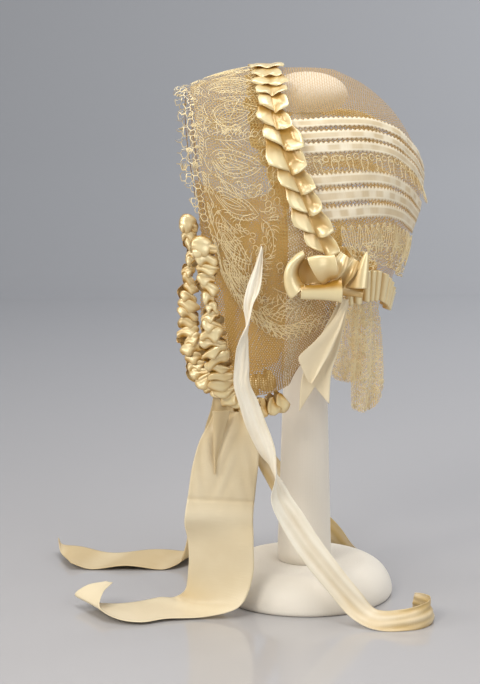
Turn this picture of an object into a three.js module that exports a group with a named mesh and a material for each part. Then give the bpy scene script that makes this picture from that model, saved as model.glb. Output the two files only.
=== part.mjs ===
// A lace and satin-ribbon bonnet on its plain cloth-covered stand, in millimetres, +Z up.
// The bonnet faces -Y and is symmetric about X = 0; +X is the wearer's left.
// The origin is the centre of the stand's flat underside.
import * as THREE from "three";
import { mergeVertices } from "three/addons/utils/BufferGeometryUtils.js";

// Driving dimensions
const STAND_BASE_RADIUS = 69.6;
const STAND_BASE_HEIGHT = 26.4;
const POST_FOOT_RADIUS = 21.3;
const POST_TOP_RADIUS = 11;
const PAD_RADIUS = 31;
const PAD_BOTTOM = 378;
const PAD_TOP = 408.2;
const SEAT_GAP = 0.3;

const NET_WALL = 1.2;
const RIBBON_WALL = 1.0;
const LAYER_LIFT = 1.95;
const RUCHE_LIFT = 3.4;
const STAY_LIFT = -1.6;
const BRIM_BULGE = 3;
const RIGHT_CHEEK_FORWARD = 14;
const RIGHT_CHEEK_DROP = 6;
const SWAY_STATIONS = { from: 3.6, to: 6.6 };
const CROWN_RISE = 3;
const CROWN_DROP_POWER = 5;
const CROWN_SEAM_ANGLE = 0.009;
const BAND_HALF_WIDTH = 10.5;
const BAND_PLEATS = 25;
const BAND_PLEAT_RISE = 3.2;
const PLEAT_MIDDLE = 0.35;
const NAPE_PLEATS = 20;
const NAPE_PLEAT_RISE = 2.5;
const CHEEK_RUCHE_HALF_WIDTH = 8;
const CHEEK_RUCHE_HALF_DEPTH = 4.5;
const CHEEK_PLEATS = 15;
const CHEEK_WAIST = 0.72;
const WIRE_RADIUS = 0.8;
const STAY_WIDTH = 8;
const LACE_OVERHANG = 12;
const FRILL_FLARE = 5;
const FRILL_WAVES = 9;

// Edges of the brim, from its top centre to the chin at 8, one row for each station of the arch.
// The last row only carries the line on below the chin, where the ruche lies.
const BRIM_STATIONS = [
  { at: 0, frontX: 0, frontY: -90, frontZ: 396, rearX: 0, rearY: -31.7, rearZ: 411 },
  { at: 1, frontX: 45, frontY: -89, frontZ: 386, rearX: 42, rearY: -33, rearZ: 394 },
  { at: 2, frontX: 64, frontY: -88.5, frontZ: 369, rearX: 60, rearY: -31, rearZ: 379 },
  { at: 3, frontX: 74, frontY: -85.5, frontZ: 341, rearX: 73, rearY: -24, rearZ: 350 },
  { at: 4, frontX: 76, frontY: -80, frontZ: 308, rearX: 77, rearY: -7, rearZ: 308 },
  { at: 5, frontX: 72, frontY: -70, frontZ: 260, rearX: 72, rearY: 10, rearZ: 266 },
  { at: 6, frontX: 65, frontY: -66, frontZ: 221, rearX: 64, rearY: 15, rearZ: 226 },
  { at: 7, frontX: 55, frontY: -60, frontZ: 189, rearX: 54, rearY: -9, rearZ: 193 },
  { at: 8, frontX: 45, frontY: -47, frontZ: 168, rearX: 47, rearY: -17, rearZ: 176 },
  { at: 9, frontX: 36, frontY: -35, frontZ: 151, rearX: 41, rearY: -20, rearZ: 159 },
];

// Back line of the crown for each station of its front edge: the slices fall towards the back
const CROWN_STATIONS = [
  { at: 0, backY: 19, backZ: 410 },
  { at: 0.7, backY: 46, backZ: 396 },
  { at: 1.3, backY: 67, backZ: 376 },
  { at: 2.05, backY: 85, backZ: 343 },
  { at: 2.9, backY: 87, backZ: 320 },
  { at: 3.5, backY: 85, backZ: 303 },
  { at: 4.05, backY: 80, backZ: 288 },
  { at: 4.5, backY: 76, backZ: 274 },
  { at: 5, backY: 70, backZ: 258 },
  { at: 5.6, backY: 64, backZ: 238 },
];
const CROWN_LAST_STATION = 5.6;

// Satin ribbons round the crown: station of the middle and half of the width in stations
const CROWN_RIBBONS = [
  { at: 2.24, half: 0.15 },
  { at: 2.6, half: 0.15 },
  { at: 2.95, half: 0.14 },
  { at: 3.52, half: 0.105 },
  { at: 3.79, half: 0.105 },
  { at: 4.05, half: 0.105 },
];
const LACE_INSERT = { from: 3.14, to: 3.37 };
const LACE_FRILL = { from: 4.22, to: 4.98, startAngle: 0.3 };
const NAPE_RIBBON = { from: 5.06, to: 5.58, startAngle: 0.3 };
const BAND_LAST_STATION = 4.78;
const WIRE_LAST_STATION = 4.05;
const LACE_SIDE_STATION = 4.1;
const LACE_REAR_STATION = 1.7;
const LACE_SLANT_POWER = 1.5;

// Route of the ruche round a cheek, and of the stay inside it: station and share from front to rear edge
const CHEEK_RUCHE_ROUTE = [
  { at: 4.32, share: -0.12 },
  { at: 5, share: -0.12 },
  { at: 6, share: -0.12 },
  { at: 7, share: -0.19 },
  { at: 7.8, share: -0.34 },
  { at: 8.55, share: 0.02 },
  { at: 8.55, share: 0.5 },
  { at: 8.55, share: 0.95 },
];
const STAY_ROUTE = [
  { at: 3.9, share: 0.86 },
  { at: 5, share: 0.68 },
  { at: 6, share: 0.63 },
  { at: 7, share: 0.8 },
  { at: 7.6, share: 0.88 },
];

// Ribbons that hang free: middle line, width, and the direction of the width at each row
const BOW_LOOP_FRONT = [
  { x: 74.6, y: 12.1, z: 252, width: 12, sideX: 0, sideY: 0.1, sideZ: 1 },
  { x: 77.6, y: 3, z: 255, width: 22, sideX: 0, sideY: 0.1, sideZ: 1 },
  { x: 79.6, y: -8, z: 259, width: 29, sideX: 0, sideY: 0, sideZ: 1 },
  { x: 84, y: -13, z: 260, width: 30, sideX: 0, sideY: 0, sideZ: 1 },
  { x: 87.5, y: -8, z: 259, width: 29, sideX: 0, sideY: 0, sideZ: 1 },
  { x: 86, y: 3, z: 256, width: 22, sideX: 0, sideY: 0, sideZ: 1 },
  { x: 80, y: 12.1, z: 252, width: 13, sideX: 0, sideY: 0, sideZ: 1 },
];
const BOW_LOOP_BACK = [
  { x: 74.8, y: 26.9, z: 252, width: 12, sideX: 0, sideY: 0, sideZ: 1 },
  { x: 74, y: 38, z: 257, width: 22, sideX: 0, sideY: 0.1, sideZ: 1 },
  { x: 71, y: 51, z: 261, width: 28, sideX: 0, sideY: 0.3, sideZ: 1 },
  { x: 74, y: 57, z: 261, width: 28, sideX: 0, sideY: 0.3, sideZ: 1 },
  { x: 80.5, y: 50, z: 259, width: 26, sideX: 0, sideY: 0.2, sideZ: 1 },
  { x: 83.5, y: 38, z: 255, width: 22, sideX: 0, sideY: 0.1, sideZ: 1 },
  { x: 80, y: 26.9, z: 252, width: 13, sideX: 0, sideY: 0, sideZ: 1 },
];
const BOW_TAIL_LONG = [
  { x: 75.9, y: 20, z: 242, width: 11, sideX: 0, sideY: 1, sideZ: 0 },
  { x: 74.5, y: 18, z: 222, width: 19, sideX: 0, sideY: 1, sideZ: 0 },
  { x: 73, y: 11, z: 196, width: 23, sideX: 0, sideY: 1, sideZ: 0.1 },
  { x: 72, y: 2, z: 170, width: 18, sideX: 0, sideY: 1, sideZ: 0.3 },
];
const BOW_TAIL_SHORT = [
  { x: 78.4, y: 20, z: 242, width: 11, sideX: 0, sideY: 1, sideZ: 0 },
  { x: 79, y: 14, z: 222, width: 21, sideX: 0, sideY: 1, sideZ: 0.1 },
  { x: 78.5, y: 6, z: 204, width: 22, sideX: 0, sideY: 1, sideZ: 0.3 },
  { x: 78, y: -1, z: 186, width: 10, sideX: 0, sideY: 1, sideZ: 0.6 },
];
const LAPPET = [
  { x: 58.5, y: 42, z: 242, width: 24, sideX: -0.6, sideY: 0.8, sideZ: 0 },
  { x: 58.5, y: 43, z: 215, width: 32, sideX: -0.6, sideY: 0.8, sideZ: 0 },
  { x: 57, y: 44, z: 185, width: 32, sideX: -0.5, sideY: 0.85, sideZ: 0 },
  { x: 56, y: 43, z: 156, width: 28, sideX: -0.4, sideY: 0.9, sideZ: 0 },
];
const CHIN_TIE_LEFT = [
  { x: 44, y: -56, z: 155.1, width: 36, sideX: 0.1, sideY: 1, sideZ: 0 },
  { x: 47, y: -59, z: 146, width: 39, sideX: 0.05, sideY: 1, sideZ: 0 },
  { x: 49, y: -62.6, z: 134, width: 45, sideX: 0, sideY: 1, sideZ: 0 },
  { x: 51, y: -65.7, z: 115, width: 50, sideX: 0, sideY: 1, sideZ: 0 },
  { x: 53, y: -68.5, z: 94, width: 51, sideX: 0, sideY: 1, sideZ: 0 },
  { x: 55, y: -70.9, z: 75, width: 52, sideX: 0.05, sideY: 1, sideZ: 0 },
  { x: 54, y: -69.5, z: 56, width: 51, sideX: 0.3, sideY: 1, sideZ: 0 },
  { x: 54, y: -69.5, z: 34, width: 51, sideX: 0.35, sideY: 1, sideZ: -0.05 },
  { x: 53, y: -76, z: 12, width: 50, sideX: 0.6, sideY: 0.8, sideZ: -0.12 },
  { x: 45, y: -93, z: 3, width: 51, sideX: 0.9, sideY: 0.4, sideZ: -0.04 },
  { x: 45, y: -115, z: 2, width: 52, sideX: 1, sideY: 0.15, sideZ: 0 },
  { x: 53, y: -138, z: 2, width: 52, sideX: 1, sideY: 0.3, sideZ: 0 },
  { x: 52, y: -158, z: 4, width: 48, sideX: 0.95, sideY: 0.4, sideZ: 0 },
  { x: 45, y: -171, z: 9, width: 40, sideX: 0.9, sideY: 0.5, sideZ: 0 },
  { x: 35, y: -165, z: 16, width: 24, sideX: 0.85, sideY: 0.5, sideZ: 0 },
  { x: 28, y: -154, z: 19, width: 8, sideX: 0.8, sideY: 0.6, sideZ: 0 },
];
const CHIN_TIE_RIGHT = [
  { x: -44, y: -59, z: 148, width: 32, sideX: -0.1, sideY: 1, sideZ: 0 },
  { x: -48, y: -60, z: 137, width: 39, sideX: -0.05, sideY: 1, sideZ: 0 },
  { x: -54, y: -61, z: 120, width: 45, sideX: 0, sideY: 1, sideZ: 0 },
  { x: -64, y: -63, z: 88, width: 50, sideX: 0, sideY: 1, sideZ: 0 },
  { x: -76, y: -65, z: 50, width: 52, sideX: 0, sideY: 1, sideZ: 0 },
  { x: -85, y: -69, z: 18, width: 52, sideX: -0.4, sideY: 1, sideZ: 0.1 },
  { x: -89, y: -84, z: 4, width: 52, sideX: -0.9, sideY: 0.5, sideZ: 0 },
  { x: -88, y: -108, z: 2, width: 52, sideX: -1, sideY: 0.1, sideZ: 0 },
  { x: -90, y: -140, z: 2, width: 52, sideX: -1, sideY: 0, sideZ: 0 },
  { x: -96, y: -172, z: 2, width: 50, sideX: -1, sideY: -0.1, sideZ: 0 },
  { x: -112, y: -190, z: 5, width: 22, sideX: -0.8, sideY: -0.5, sideZ: 0.1 },
  { x: -121, y: -198, z: 10, width: 8, sideX: -0.7, sideY: -0.7, sideZ: 0.2 },
];
const STREAMER_SEAT = { at: 4.86, share: 0.46, lift: 2.1, width: 6 };
const STREAMER_HANG = [
  { x: 81, y: -42.5, z: 273, width: 9, sideX: 0, sideY: 1, sideZ: 0.1 },
  { x: 81.5, y: -44, z: 261, width: 12, sideX: 0.1, sideY: 1, sideZ: 0 },
  { x: 82, y: -49, z: 245, width: 12, sideX: 0.55, sideY: 0.8, sideZ: 0 },
  { x: 82, y: -51, z: 230, width: 11, sideX: 1, sideY: 0.1, sideZ: 0 },
  { x: 80, y: -54.4, z: 212, width: 12, sideX: 0.5, sideY: -0.9, sideZ: 0 },
  { x: 78, y: -55, z: 197, width: 13, sideX: 0.1, sideY: -1, sideZ: 0 },
  { x: 77, y: -55, z: 183, width: 14, sideX: 0, sideY: -1, sideZ: -0.15 },
  { x: 75, y: -50, z: 169, width: 16, sideX: 0, sideY: -1, sideZ: -0.3 },
  { x: 74, y: -45, z: 154, width: 17, sideX: -0.1, sideY: -1, sideZ: -0.3 },
  { x: 74, y: -36.5, z: 134, width: 17, sideX: -0.5, sideY: -0.8, sideZ: -0.3 },
  { x: 73, y: -30.5, z: 116, width: 17, sideX: -1, sideY: -0.1, sideZ: 0 },
  { x: 73, y: -26.6, z: 96, width: 18, sideX: -0.5, sideY: 0.8, sideZ: 0.3 },
  { x: 74, y: -16.8, z: 78, width: 20, sideX: -0.1, sideY: 0.9, sideZ: 0.45 },
  { x: 77, y: -3, z: 56, width: 20, sideX: 0, sideY: 0.8, sideZ: 0.6 },
];
const STREAMER_LEFT_END = [
  { x: 84, y: 22, z: 24, width: 20, sideX: 0.1, sideY: 0.7, sideZ: 0.6 },
  { x: 90, y: 38, z: 8, width: 20, sideX: -0.5, sideY: 0.75, sideZ: 0.3 },
  { x: 96, y: 52, z: 2.5, width: 20, sideX: -0.85, sideY: 0.5, sideZ: 0.05 },
  { x: 97, y: 69, z: 2, width: 20, sideX: -1, sideY: 0, sideZ: 0 },
  { x: 87, y: 86, z: 3, width: 19, sideX: -0.8, sideY: -0.6, sideZ: 0 },
  { x: 76, y: 94, z: 8, width: 17, sideX: -0.6, sideY: -0.7, sideZ: 0.3 },
  { x: 68, y: 91, z: 15, width: 12, sideX: -0.5, sideY: -0.7, sideZ: 0.4 },
];
const STREAMER_RIGHT_END = [
  { x: 84, y: 26, z: 27, width: 20, sideX: 0.1, sideY: 0.7, sideZ: 0.6 },
  { x: 92, y: 40, z: 10, width: 19, sideX: -0.4, sideY: 0.8, sideZ: 0.3 },
  { x: 99, y: 52, z: 3, width: 12, sideX: -0.8, sideY: 0.6, sideZ: 0.05 },
];
const BOW_KNOT = { x: 77.2, y: 19.5, z: 252, halfX: 7, halfY: 7.5, halfZ: 9.5 };

const WHITE_CLOTH = { color: 0xece5da, roughness: 0.95 };
const SILK_NET = { color: 0xc9ab78, roughness: 0.85 };
const BLONDE_LACE = { color: 0xd8bf92, roughness: 0.8 };
const SATIN = { color: 0xecd6a6, roughness: 0.4 };
const SILK_RIBBON = { color: 0xe4cfa2, roughness: 0.5 };
const STIFF_NET = { color: 0xf0eadf, roughness: 0.8 };
const BOUND_WIRE = { color: 0x8a6a3c, roughness: 0.7 };

const bonnet = new THREE.Group();

function addPiece(name, geometry, finish) {
  const mesh = new THREE.Mesh(geometry, new THREE.MeshStandardMaterial({ ...finish, metalness: 0 }));
  mesh.name = name;
  bonnet.add(mesh);
}

// A smooth function of the column "at" through the named columns of a table
function smooth(rows, columns) {
  const positions = rows.map((row) => row.at);
  const values = rows.flatMap((row) => columns.map((column) => row[column]));
  const interpolant = new THREE.CubicInterpolant(positions, values, columns.length, []);
  return (at) => [...interpolant.evaluate(at)];
}

function geometryFrom(positions, triangles) {
  const geometry = new THREE.BufferGeometry();
  geometry.setAttribute("position", new THREE.Float32BufferAttribute(positions, 3));
  geometry.setIndex(triangles);
  return geometry;
}

// An open sheet from a point function of two shares, with coincident points welded
function sheet(point, uSteps, vSteps) {
  const positions = [];
  const triangles = [];
  for (let i = 0; i <= uSteps; i++) {
    for (let j = 0; j <= vSteps; j++) {
      positions.push(...point(i / uSteps, j / vSteps));
      if (i === uSteps || j === vSteps) continue;
      const corner = i * (vSteps + 1) + j;
      const next = corner + vSteps + 1;
      triangles.push(corner, next, next + 1, corner, next + 1, corner + 1);
    }
  }
  const welded = mergeVertices(geometryFrom(positions, triangles), 1e-3);
  const index = welded.getIndex().array;
  const kept = [];
  for (let i = 0; i < index.length; i += 3) {
    const [a, b, c] = index.slice(i, i + 3);
    if (a !== b && b !== c && c !== a) kept.push(a, b, c);
  }
  welded.setIndex(kept);
  return welded;
}

// A closed wall on a sheet: its inner face lies at lift along the normals, its outer face a wall further out.
// The wall is a number, or a function of the point's place in the sheet's own order.
function thicken(open, wall, lift) {
  open.computeVertexNormals();
  const place = open.getAttribute("position");
  const normal = open.getAttribute("normal");
  const count = place.count;
  const shifted = (distanceAt) => {
    const positions = [];
    for (let i = 0; i < count; i++) {
      const distance = distanceAt(i);
      positions.push(place.getX(i) + normal.getX(i) * distance);
      positions.push(place.getY(i) + normal.getY(i) * distance);
      positions.push(place.getZ(i) + normal.getZ(i) * distance);
    }
    return positions;
  };
  const wallAt = typeof wall === "function" ? wall : () => wall;
  const liftAt = typeof lift === "function" ? lift : () => lift;
  const outer = shifted((i) => liftAt(i) + wallAt(i));
  const inner = shifted(liftAt);
  const index = open.getIndex().array;
  const triangles = [];
  const edges = new Set();
  for (let i = 0; i < index.length; i += 3) {
    const [a, b, c] = index.slice(i, i + 3);
    triangles.push(a, b, c, a + count, c + count, b + count);
    for (const [from, to] of [[a, b], [b, c], [c, a]]) edges.add(`${from} ${to}`);
  }
  for (const edge of edges) {
    const [a, b] = edge.split(" ").map(Number);
    if (!edges.has(`${b} ${a}`)) triangles.push(b, a, a + count, b, a + count, b + count);
  }
  return geometryFrom([...outer, ...inner], triangles);
}

function mirrored(geometry) {
  const copy = geometry.clone().scale(-1, 1, 1);
  const index = [...copy.getIndex().array];
  for (let i = 0; i < index.length; i += 3) [index[i], index[i + 1]] = [index[i + 1], index[i]];
  copy.setIndex(index);
  return copy;
}

function lathe(profile, segments) {
  const points = profile.map(([radius, height]) => new THREE.Vector2(radius, height));
  const geometry = new THREE.LatheGeometry(points, segments).rotateX(Math.PI / 2);
  geometry.deleteAttribute("normal");
  geometry.deleteAttribute("uv");
  return mergeVertices(geometry, 1e-3);
}

// Stand: a domed base, a tapered post on its flat middle, and a rounded pad on the post
function domeProfile(radius, bottom, top, flat, steps) {
  const profile = [];
  for (let i = 0; i <= steps; i++) {
    const angle = (i / steps) * (Math.PI / 2);
    profile.push([flat + (radius - flat) * Math.cos(angle), bottom + (top - bottom) * Math.sin(angle)]);
  }
  return profile;
}
const BASE_SIDE = 2.4;
const BASE_FLAT_RADIUS = 24;
const BASE_FOOT_RADIUS = 68;
const STAND_SEGMENTS = 36;
addPiece("stand_base", lathe([
  [0, 0],
  [BASE_FOOT_RADIUS, 0],
  ...domeProfile(STAND_BASE_RADIUS, BASE_SIDE, STAND_BASE_HEIGHT, BASE_FLAT_RADIUS, 6),
  [0, STAND_BASE_HEIGHT],
], STAND_SEGMENTS), WHITE_CLOTH);
addPiece("stand_post", lathe([
  [0, STAND_BASE_HEIGHT + SEAT_GAP],
  [POST_FOOT_RADIUS, STAND_BASE_HEIGHT + SEAT_GAP],
  [POST_TOP_RADIUS, PAD_BOTTOM - SEAT_GAP],
  [0, PAD_BOTTOM - SEAT_GAP],
], 28), WHITE_CLOTH);
const PAD_MIDDLE = 391;
const PAD_FLAT_RADIUS = 12;
const padBelow = domeProfile(PAD_RADIUS, PAD_MIDDLE, PAD_BOTTOM, PAD_FLAT_RADIUS, 3).reverse();
const padAbove = domeProfile(PAD_RADIUS, PAD_MIDDLE, PAD_TOP, 0, 5).slice(1);
addPiece("stand_pad", lathe([[0, PAD_BOTTOM], ...padBelow, ...padAbove], 28), WHITE_CLOTH);

// Brim: a straight line from its front edge to its rear edge at each station, bulged outwards.
// A station below 0 is on the wearer's right, where the cheek swings a little forward and down.
const brimRow = smooth(
  [...BRIM_STATIONS.slice(1).reverse().map((row) => ({
    ...row, at: -row.at, frontX: -row.frontX, rearX: -row.rearX,
  })), ...BRIM_STATIONS],
  ["frontX", "frontY", "frontZ", "rearX", "rearY", "rearZ"],
);
const HEAD_CENTRE_Z = 300;
function brimPoint(at, share) {
  const [frontX, frontY, frontZ, rearX, rearY, rearZ] = brimRow(at);
  const sway = THREE.MathUtils.smoothstep(-at, SWAY_STATIONS.from, SWAY_STATIONS.to);
  const x = THREE.MathUtils.lerp(frontX, rearX, share);
  const y = THREE.MathUtils.lerp(frontY - RIGHT_CHEEK_FORWARD * sway, rearY, share);
  const z = THREE.MathUtils.lerp(frontZ - RIGHT_CHEEK_DROP * sway, rearZ, share);
  const out = new THREE.Vector2(x, z - HEAD_CENTRE_Z).normalize();
  const bulge = BRIM_BULGE * 4 * Math.max(0, share * (1 - share));
  return [x + out.x * bulge, y, z + out.y * bulge];
}
const ARCH_END = 8;
const stationOf = (share, end) => end * (2 * share - 1);
addPiece("brim", thicken(sheet((u, v) => brimPoint(stationOf(u, ARCH_END), v), 36, 5), NET_WALL, 0), SILK_NET);

// Crown: at each station an elliptic slice from the seam round to the back line
const crownBack = smooth(CROWN_STATIONS, ["backY", "backZ"]);
function crownPoint(at, angle) {
  const [, , , seamX, seamY, seamZ] = brimRow(at);
  const [backY, backZ] = crownBack(Math.abs(at));
  const drop = (backZ - seamZ) * Math.sin(angle) ** CROWN_DROP_POWER;
  const rise = CROWN_RISE * Math.min(1, Math.abs(at) / 2) * Math.sin(2 * angle) ** 2;
  const y = seamY + (backY - seamY) * Math.sin(angle);
  return [seamX * Math.cos(angle), y, seamZ + drop + rise];
}
const QUARTER_TURN = Math.PI / 2;
const crownAngle = (share, start) => start + (QUARTER_TURN - start) * share;
addPiece("crown", thicken(
  sheet((u, v) => crownPoint(stationOf(u, CROWN_LAST_STATION), crownAngle(v, CROWN_SEAM_ANGLE)), 28, 9),
  NET_WALL, 0,
), SILK_NET);

// A strip round the crown from seam to seam, between two stations, with the lower one first
function crownStrip(from, to, start, uSteps, vSteps) {
  return sheet((u, v) => {
    const angle = start + (Math.PI - 2 * start) * u;
    const [x, y, z] = crownPoint(THREE.MathUtils.lerp(to, from, v), Math.min(angle, Math.PI - angle));
    return [angle > QUARTER_TURN ? -x : x, y, z];
  }, uSteps, vSteps);
}
const RIBBON_START = 0.1;
CROWN_RIBBONS.forEach(({ at, half }, row) => {
  const strip = crownStrip(at - half, at + half, RIBBON_START, 18, 1);
  addPiece(`crown_ribbon_${row + 1}`, thicken(strip, RIBBON_WALL, LAYER_LIFT), SATIN);
});
addPiece("crown_lace_insert", thicken(
  crownStrip(LACE_INSERT.from, LACE_INSERT.to, RIBBON_START, 18, 1), RIBBON_WALL, LAYER_LIFT,
), BLONDE_LACE);
const FRILL_STEPS = { around: 36, down: 2 };
addPiece("crown_lace_frill", thicken(
  crownStrip(LACE_FRILL.from, LACE_FRILL.to, LACE_FRILL.startAngle, FRILL_STEPS.around, FRILL_STEPS.down),
  RIBBON_WALL,
  (i) => {
    const down = 1 - (i % (FRILL_STEPS.down + 1)) / FRILL_STEPS.down;
    const around = Math.floor(i / (FRILL_STEPS.down + 1)) / FRILL_STEPS.around;
    const wave = 0.5 + 0.5 * Math.cos(2 * Math.PI * FRILL_WAVES * around);
    return LAYER_LIFT + FRILL_FLARE * down * wave;
  },
), BLONDE_LACE);

// How far a box-pleated ribbon stands up: most at the middle of a pleat and at the ribbon's two edges
function pleatRise(along, across, pleats, rise) {
  const fold = 0.5 - 0.5 * Math.cos(2 * Math.PI * pleats * along);
  return rise * fold * THREE.MathUtils.lerp(PLEAT_MIDDLE, 1, Math.abs(2 * across - 1));
}
const BAND_STEPS = { along: BAND_PLEATS * 2, across: 4 };
const bandSheet = sheet((u, v) => {
  const at = stationOf(u, BAND_LAST_STATION);
  const reach = (2 * v - 1) * BAND_HALF_WIDTH;
  const seam = new THREE.Vector3(...brimPoint(at, 1));
  const depth = reach < 0 ? seam.distanceTo(new THREE.Vector3(...brimPoint(at, 0)))
    : crownBack(Math.abs(at))[0] - seam.y;
  return reach < 0 ? brimPoint(at, 1 + reach / depth) : crownPoint(at, reach / depth);
}, BAND_STEPS.along, BAND_STEPS.across);
const pleatsOf = (steps, pleats, rise) => (i) => {
  const along = Math.floor(i / (steps.across + 1)) / steps.along;
  const across = (i % (steps.across + 1)) / steps.across;
  return RIBBON_WALL + pleatRise(along, across, pleats, rise);
};
addPiece("ruched_band", thicken(bandSheet, pleatsOf(BAND_STEPS, BAND_PLEATS, BAND_PLEAT_RISE), RUCHE_LIFT), SATIN);
const NAPE_STEPS = { along: NAPE_PLEATS * 2, across: 2 };
const napeWall = pleatsOf(NAPE_STEPS, NAPE_PLEATS, NAPE_PLEAT_RISE);
addPiece("nape_ribbon", thicken(
  crownStrip(NAPE_RIBBON.from, NAPE_RIBBON.to, NAPE_RIBBON.startAngle, NAPE_STEPS.along, NAPE_STEPS.across),
  napeWall, LAYER_LIFT,
), SATIN);

// Lace overlay: past the front edge by its border, down to a slanting lower edge on each cheek
const BRIM_DEPTH = 76;
const LACE_REAR_SHARE = 0.98;
addPiece("brim_lace", thicken(sheet((u, v) => {
  const share = THREE.MathUtils.lerp(-LACE_OVERHANG / BRIM_DEPTH, LACE_REAR_SHARE, v);
  const end = LACE_SIDE_STATION + LACE_REAR_STATION * Math.max(share, 0) ** LACE_SLANT_POWER;
  return brimPoint(stationOf(u, end), share);
}, 36, 5), RIBBON_WALL, LAYER_LIFT), BLONDE_LACE);

// A point of the brim with its outward normal; hand -1 brings the right cheek to the left side
function cheekPoint(at, share, hand) {
  const [x, y, z] = brimPoint(hand * at, share);
  return new THREE.Vector3(hand * x, y, z);
}
function brimFrame(at, share, hand) {
  const step = 0.01;
  const point = cheekPoint(at, share, hand);
  const down = cheekPoint(at + step, share, hand).sub(point);
  const back = cheekPoint(at, share + step, hand).sub(point);
  return { point, normal: down.cross(back).normalize() };
}

// A closed tube on a route: the section at each share is an ellipse, and both ends close to a point
function tube(centreAt, sectionAt, along, around) {
  return sheet((u, v) => {
    const { side, rise } = sectionAt(u);
    const angle = -2 * Math.PI * v;
    const end = Math.min(1, Math.sqrt(Math.max(0, 4 * along * u * (1 - u))));
    return centreAt(u).clone()
      .addScaledVector(side, end * Math.cos(angle))
      .addScaledVector(rise, end * Math.sin(angle)).toArray();
  }, along, around);
}
const wireAt = (u) => brimFrame(stationOf(u, WIRE_LAST_STATION), 0, 1);
const backward = new THREE.Vector3(0, 1, 0);
addPiece("brim_wire", tube(
  (u) => wireAt(u).point.addScaledVector(wireAt(u).normal, NET_WALL / 3)
    .addScaledVector(backward, -WIRE_RADIUS - 2 * SEAT_GAP),
  (u) => ({
    side: backward.clone().multiplyScalar(WIRE_RADIUS),
    rise: wireAt(u).normal.multiplyScalar(WIRE_RADIUS),
  }),
  28, 5,
), BOUND_WIRE);

// A piece made on the left side for each cheek: hand is 1 for the left one and -1 for the right
function addCheekPair(name, make, finish) {
  addPiece(`${name}_left`, make(1), finish);
  addPiece(`${name}_right`, mirrored(make(-1)), finish);
}

// Cheek ruche: a puffed tube along the front and lower edge of a cheek, waisted between pleats
function routeOf(rows) {
  return smooth(rows.map(({ at, share }, i) => ({ at: i / (rows.length - 1), station: at, share })),
    ["station", "share"]);
}
const rucheRoute = routeOf(CHEEK_RUCHE_ROUTE);
const cheekDepth = (at, hand) => cheekPoint(at, 0, hand).distanceTo(cheekPoint(at, 1, hand));
function ruchePoint(u, hand) {
  const [at, share] = rucheRoute(u);
  const inFront = (share * cheekDepth(at, 1)) / cheekDepth(at, hand);
  return cheekPoint(at, share < 0 ? inFront : share, hand);
}
function rucheSection(u, hand) {
  const step = 0.01;
  const tangent = ruchePoint(Math.min(u + step, 1), hand).sub(ruchePoint(Math.max(u - step, 0), hand)).normalize();
  const out = new THREE.Vector3(1, 0, 0);
  const side = new THREE.Vector3().crossVectors(out, tangent).normalize();
  const rise = new THREE.Vector3().crossVectors(tangent, side).normalize();
  const puff = THREE.MathUtils.lerp(CHEEK_WAIST, 1, Math.sin(Math.PI * CHEEK_PLEATS * u) ** 2);
  return {
    side: side.multiplyScalar(CHEEK_RUCHE_HALF_WIDTH * puff),
    rise: rise.multiplyScalar(CHEEK_RUCHE_HALF_DEPTH * puff),
  };
}
addCheekPair("cheek_ruche", (hand) => tube(
  (u) => ruchePoint(u, hand), (u) => rucheSection(u, hand), CHEEK_PLEATS * 2, 6,
), SATIN);

// Stay: a narrow strip on the inner face of the cheek
const stayRoute = routeOf(STAY_ROUTE);
addCheekPair("stay", (hand) => thicken(sheet((u, v) => {
  const [at, share] = stayRoute(u);
  return cheekPoint(at, share + ((v - 0.5) * STAY_WIDTH) / BRIM_DEPTH, hand).toArray();
}, 12, 1), RIBBON_WALL, STAY_LIFT), STIFF_NET);

// A free ribbon: its middle line, its width and the direction of the width follow a table
function ribbon(rows, steps) {
  const row = smooth(rows.map((entry, i) => ({ ...entry, at: i / (rows.length - 1) })),
    ["x", "y", "z", "width", "sideX", "sideY", "sideZ"]);
  return thicken(sheet((u, v) => {
    const [x, y, z, width, ...side] = row(u);
    const reach = new THREE.Vector3(...side).setLength((v - 0.5) * width || 1e-9);
    return [x + reach.x, y + reach.y, z + reach.z];
  }, steps, 1), RIBBON_WALL, -RIBBON_WALL / 2);
}
function addPair(name, geometry, finish) {
  addPiece(`${name}_left`, geometry, finish);
  addPiece(`${name}_right`, mirrored(geometry), finish);
}
addPair("bow_loop_front", ribbon(BOW_LOOP_FRONT, 18), SATIN);
addPair("bow_loop_back", ribbon(BOW_LOOP_BACK, 18), SATIN);
addPair("bow_tail_long", ribbon(BOW_TAIL_LONG, 8), SATIN);
addPair("bow_tail_short", ribbon(BOW_TAIL_SHORT, 8), SATIN);
addPair("lappet", ribbon(LAPPET, 8), BLONDE_LACE);
const knot = new THREE.SphereGeometry(1, 12, 8);
knot.deleteAttribute("normal");
knot.deleteAttribute("uv");
addPair("bow_knot", mergeVertices(knot, 1e-3)
  .scale(BOW_KNOT.halfX, BOW_KNOT.halfY, BOW_KNOT.halfZ)
  .translate(BOW_KNOT.x, BOW_KNOT.y, BOW_KNOT.z), SATIN);

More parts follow.
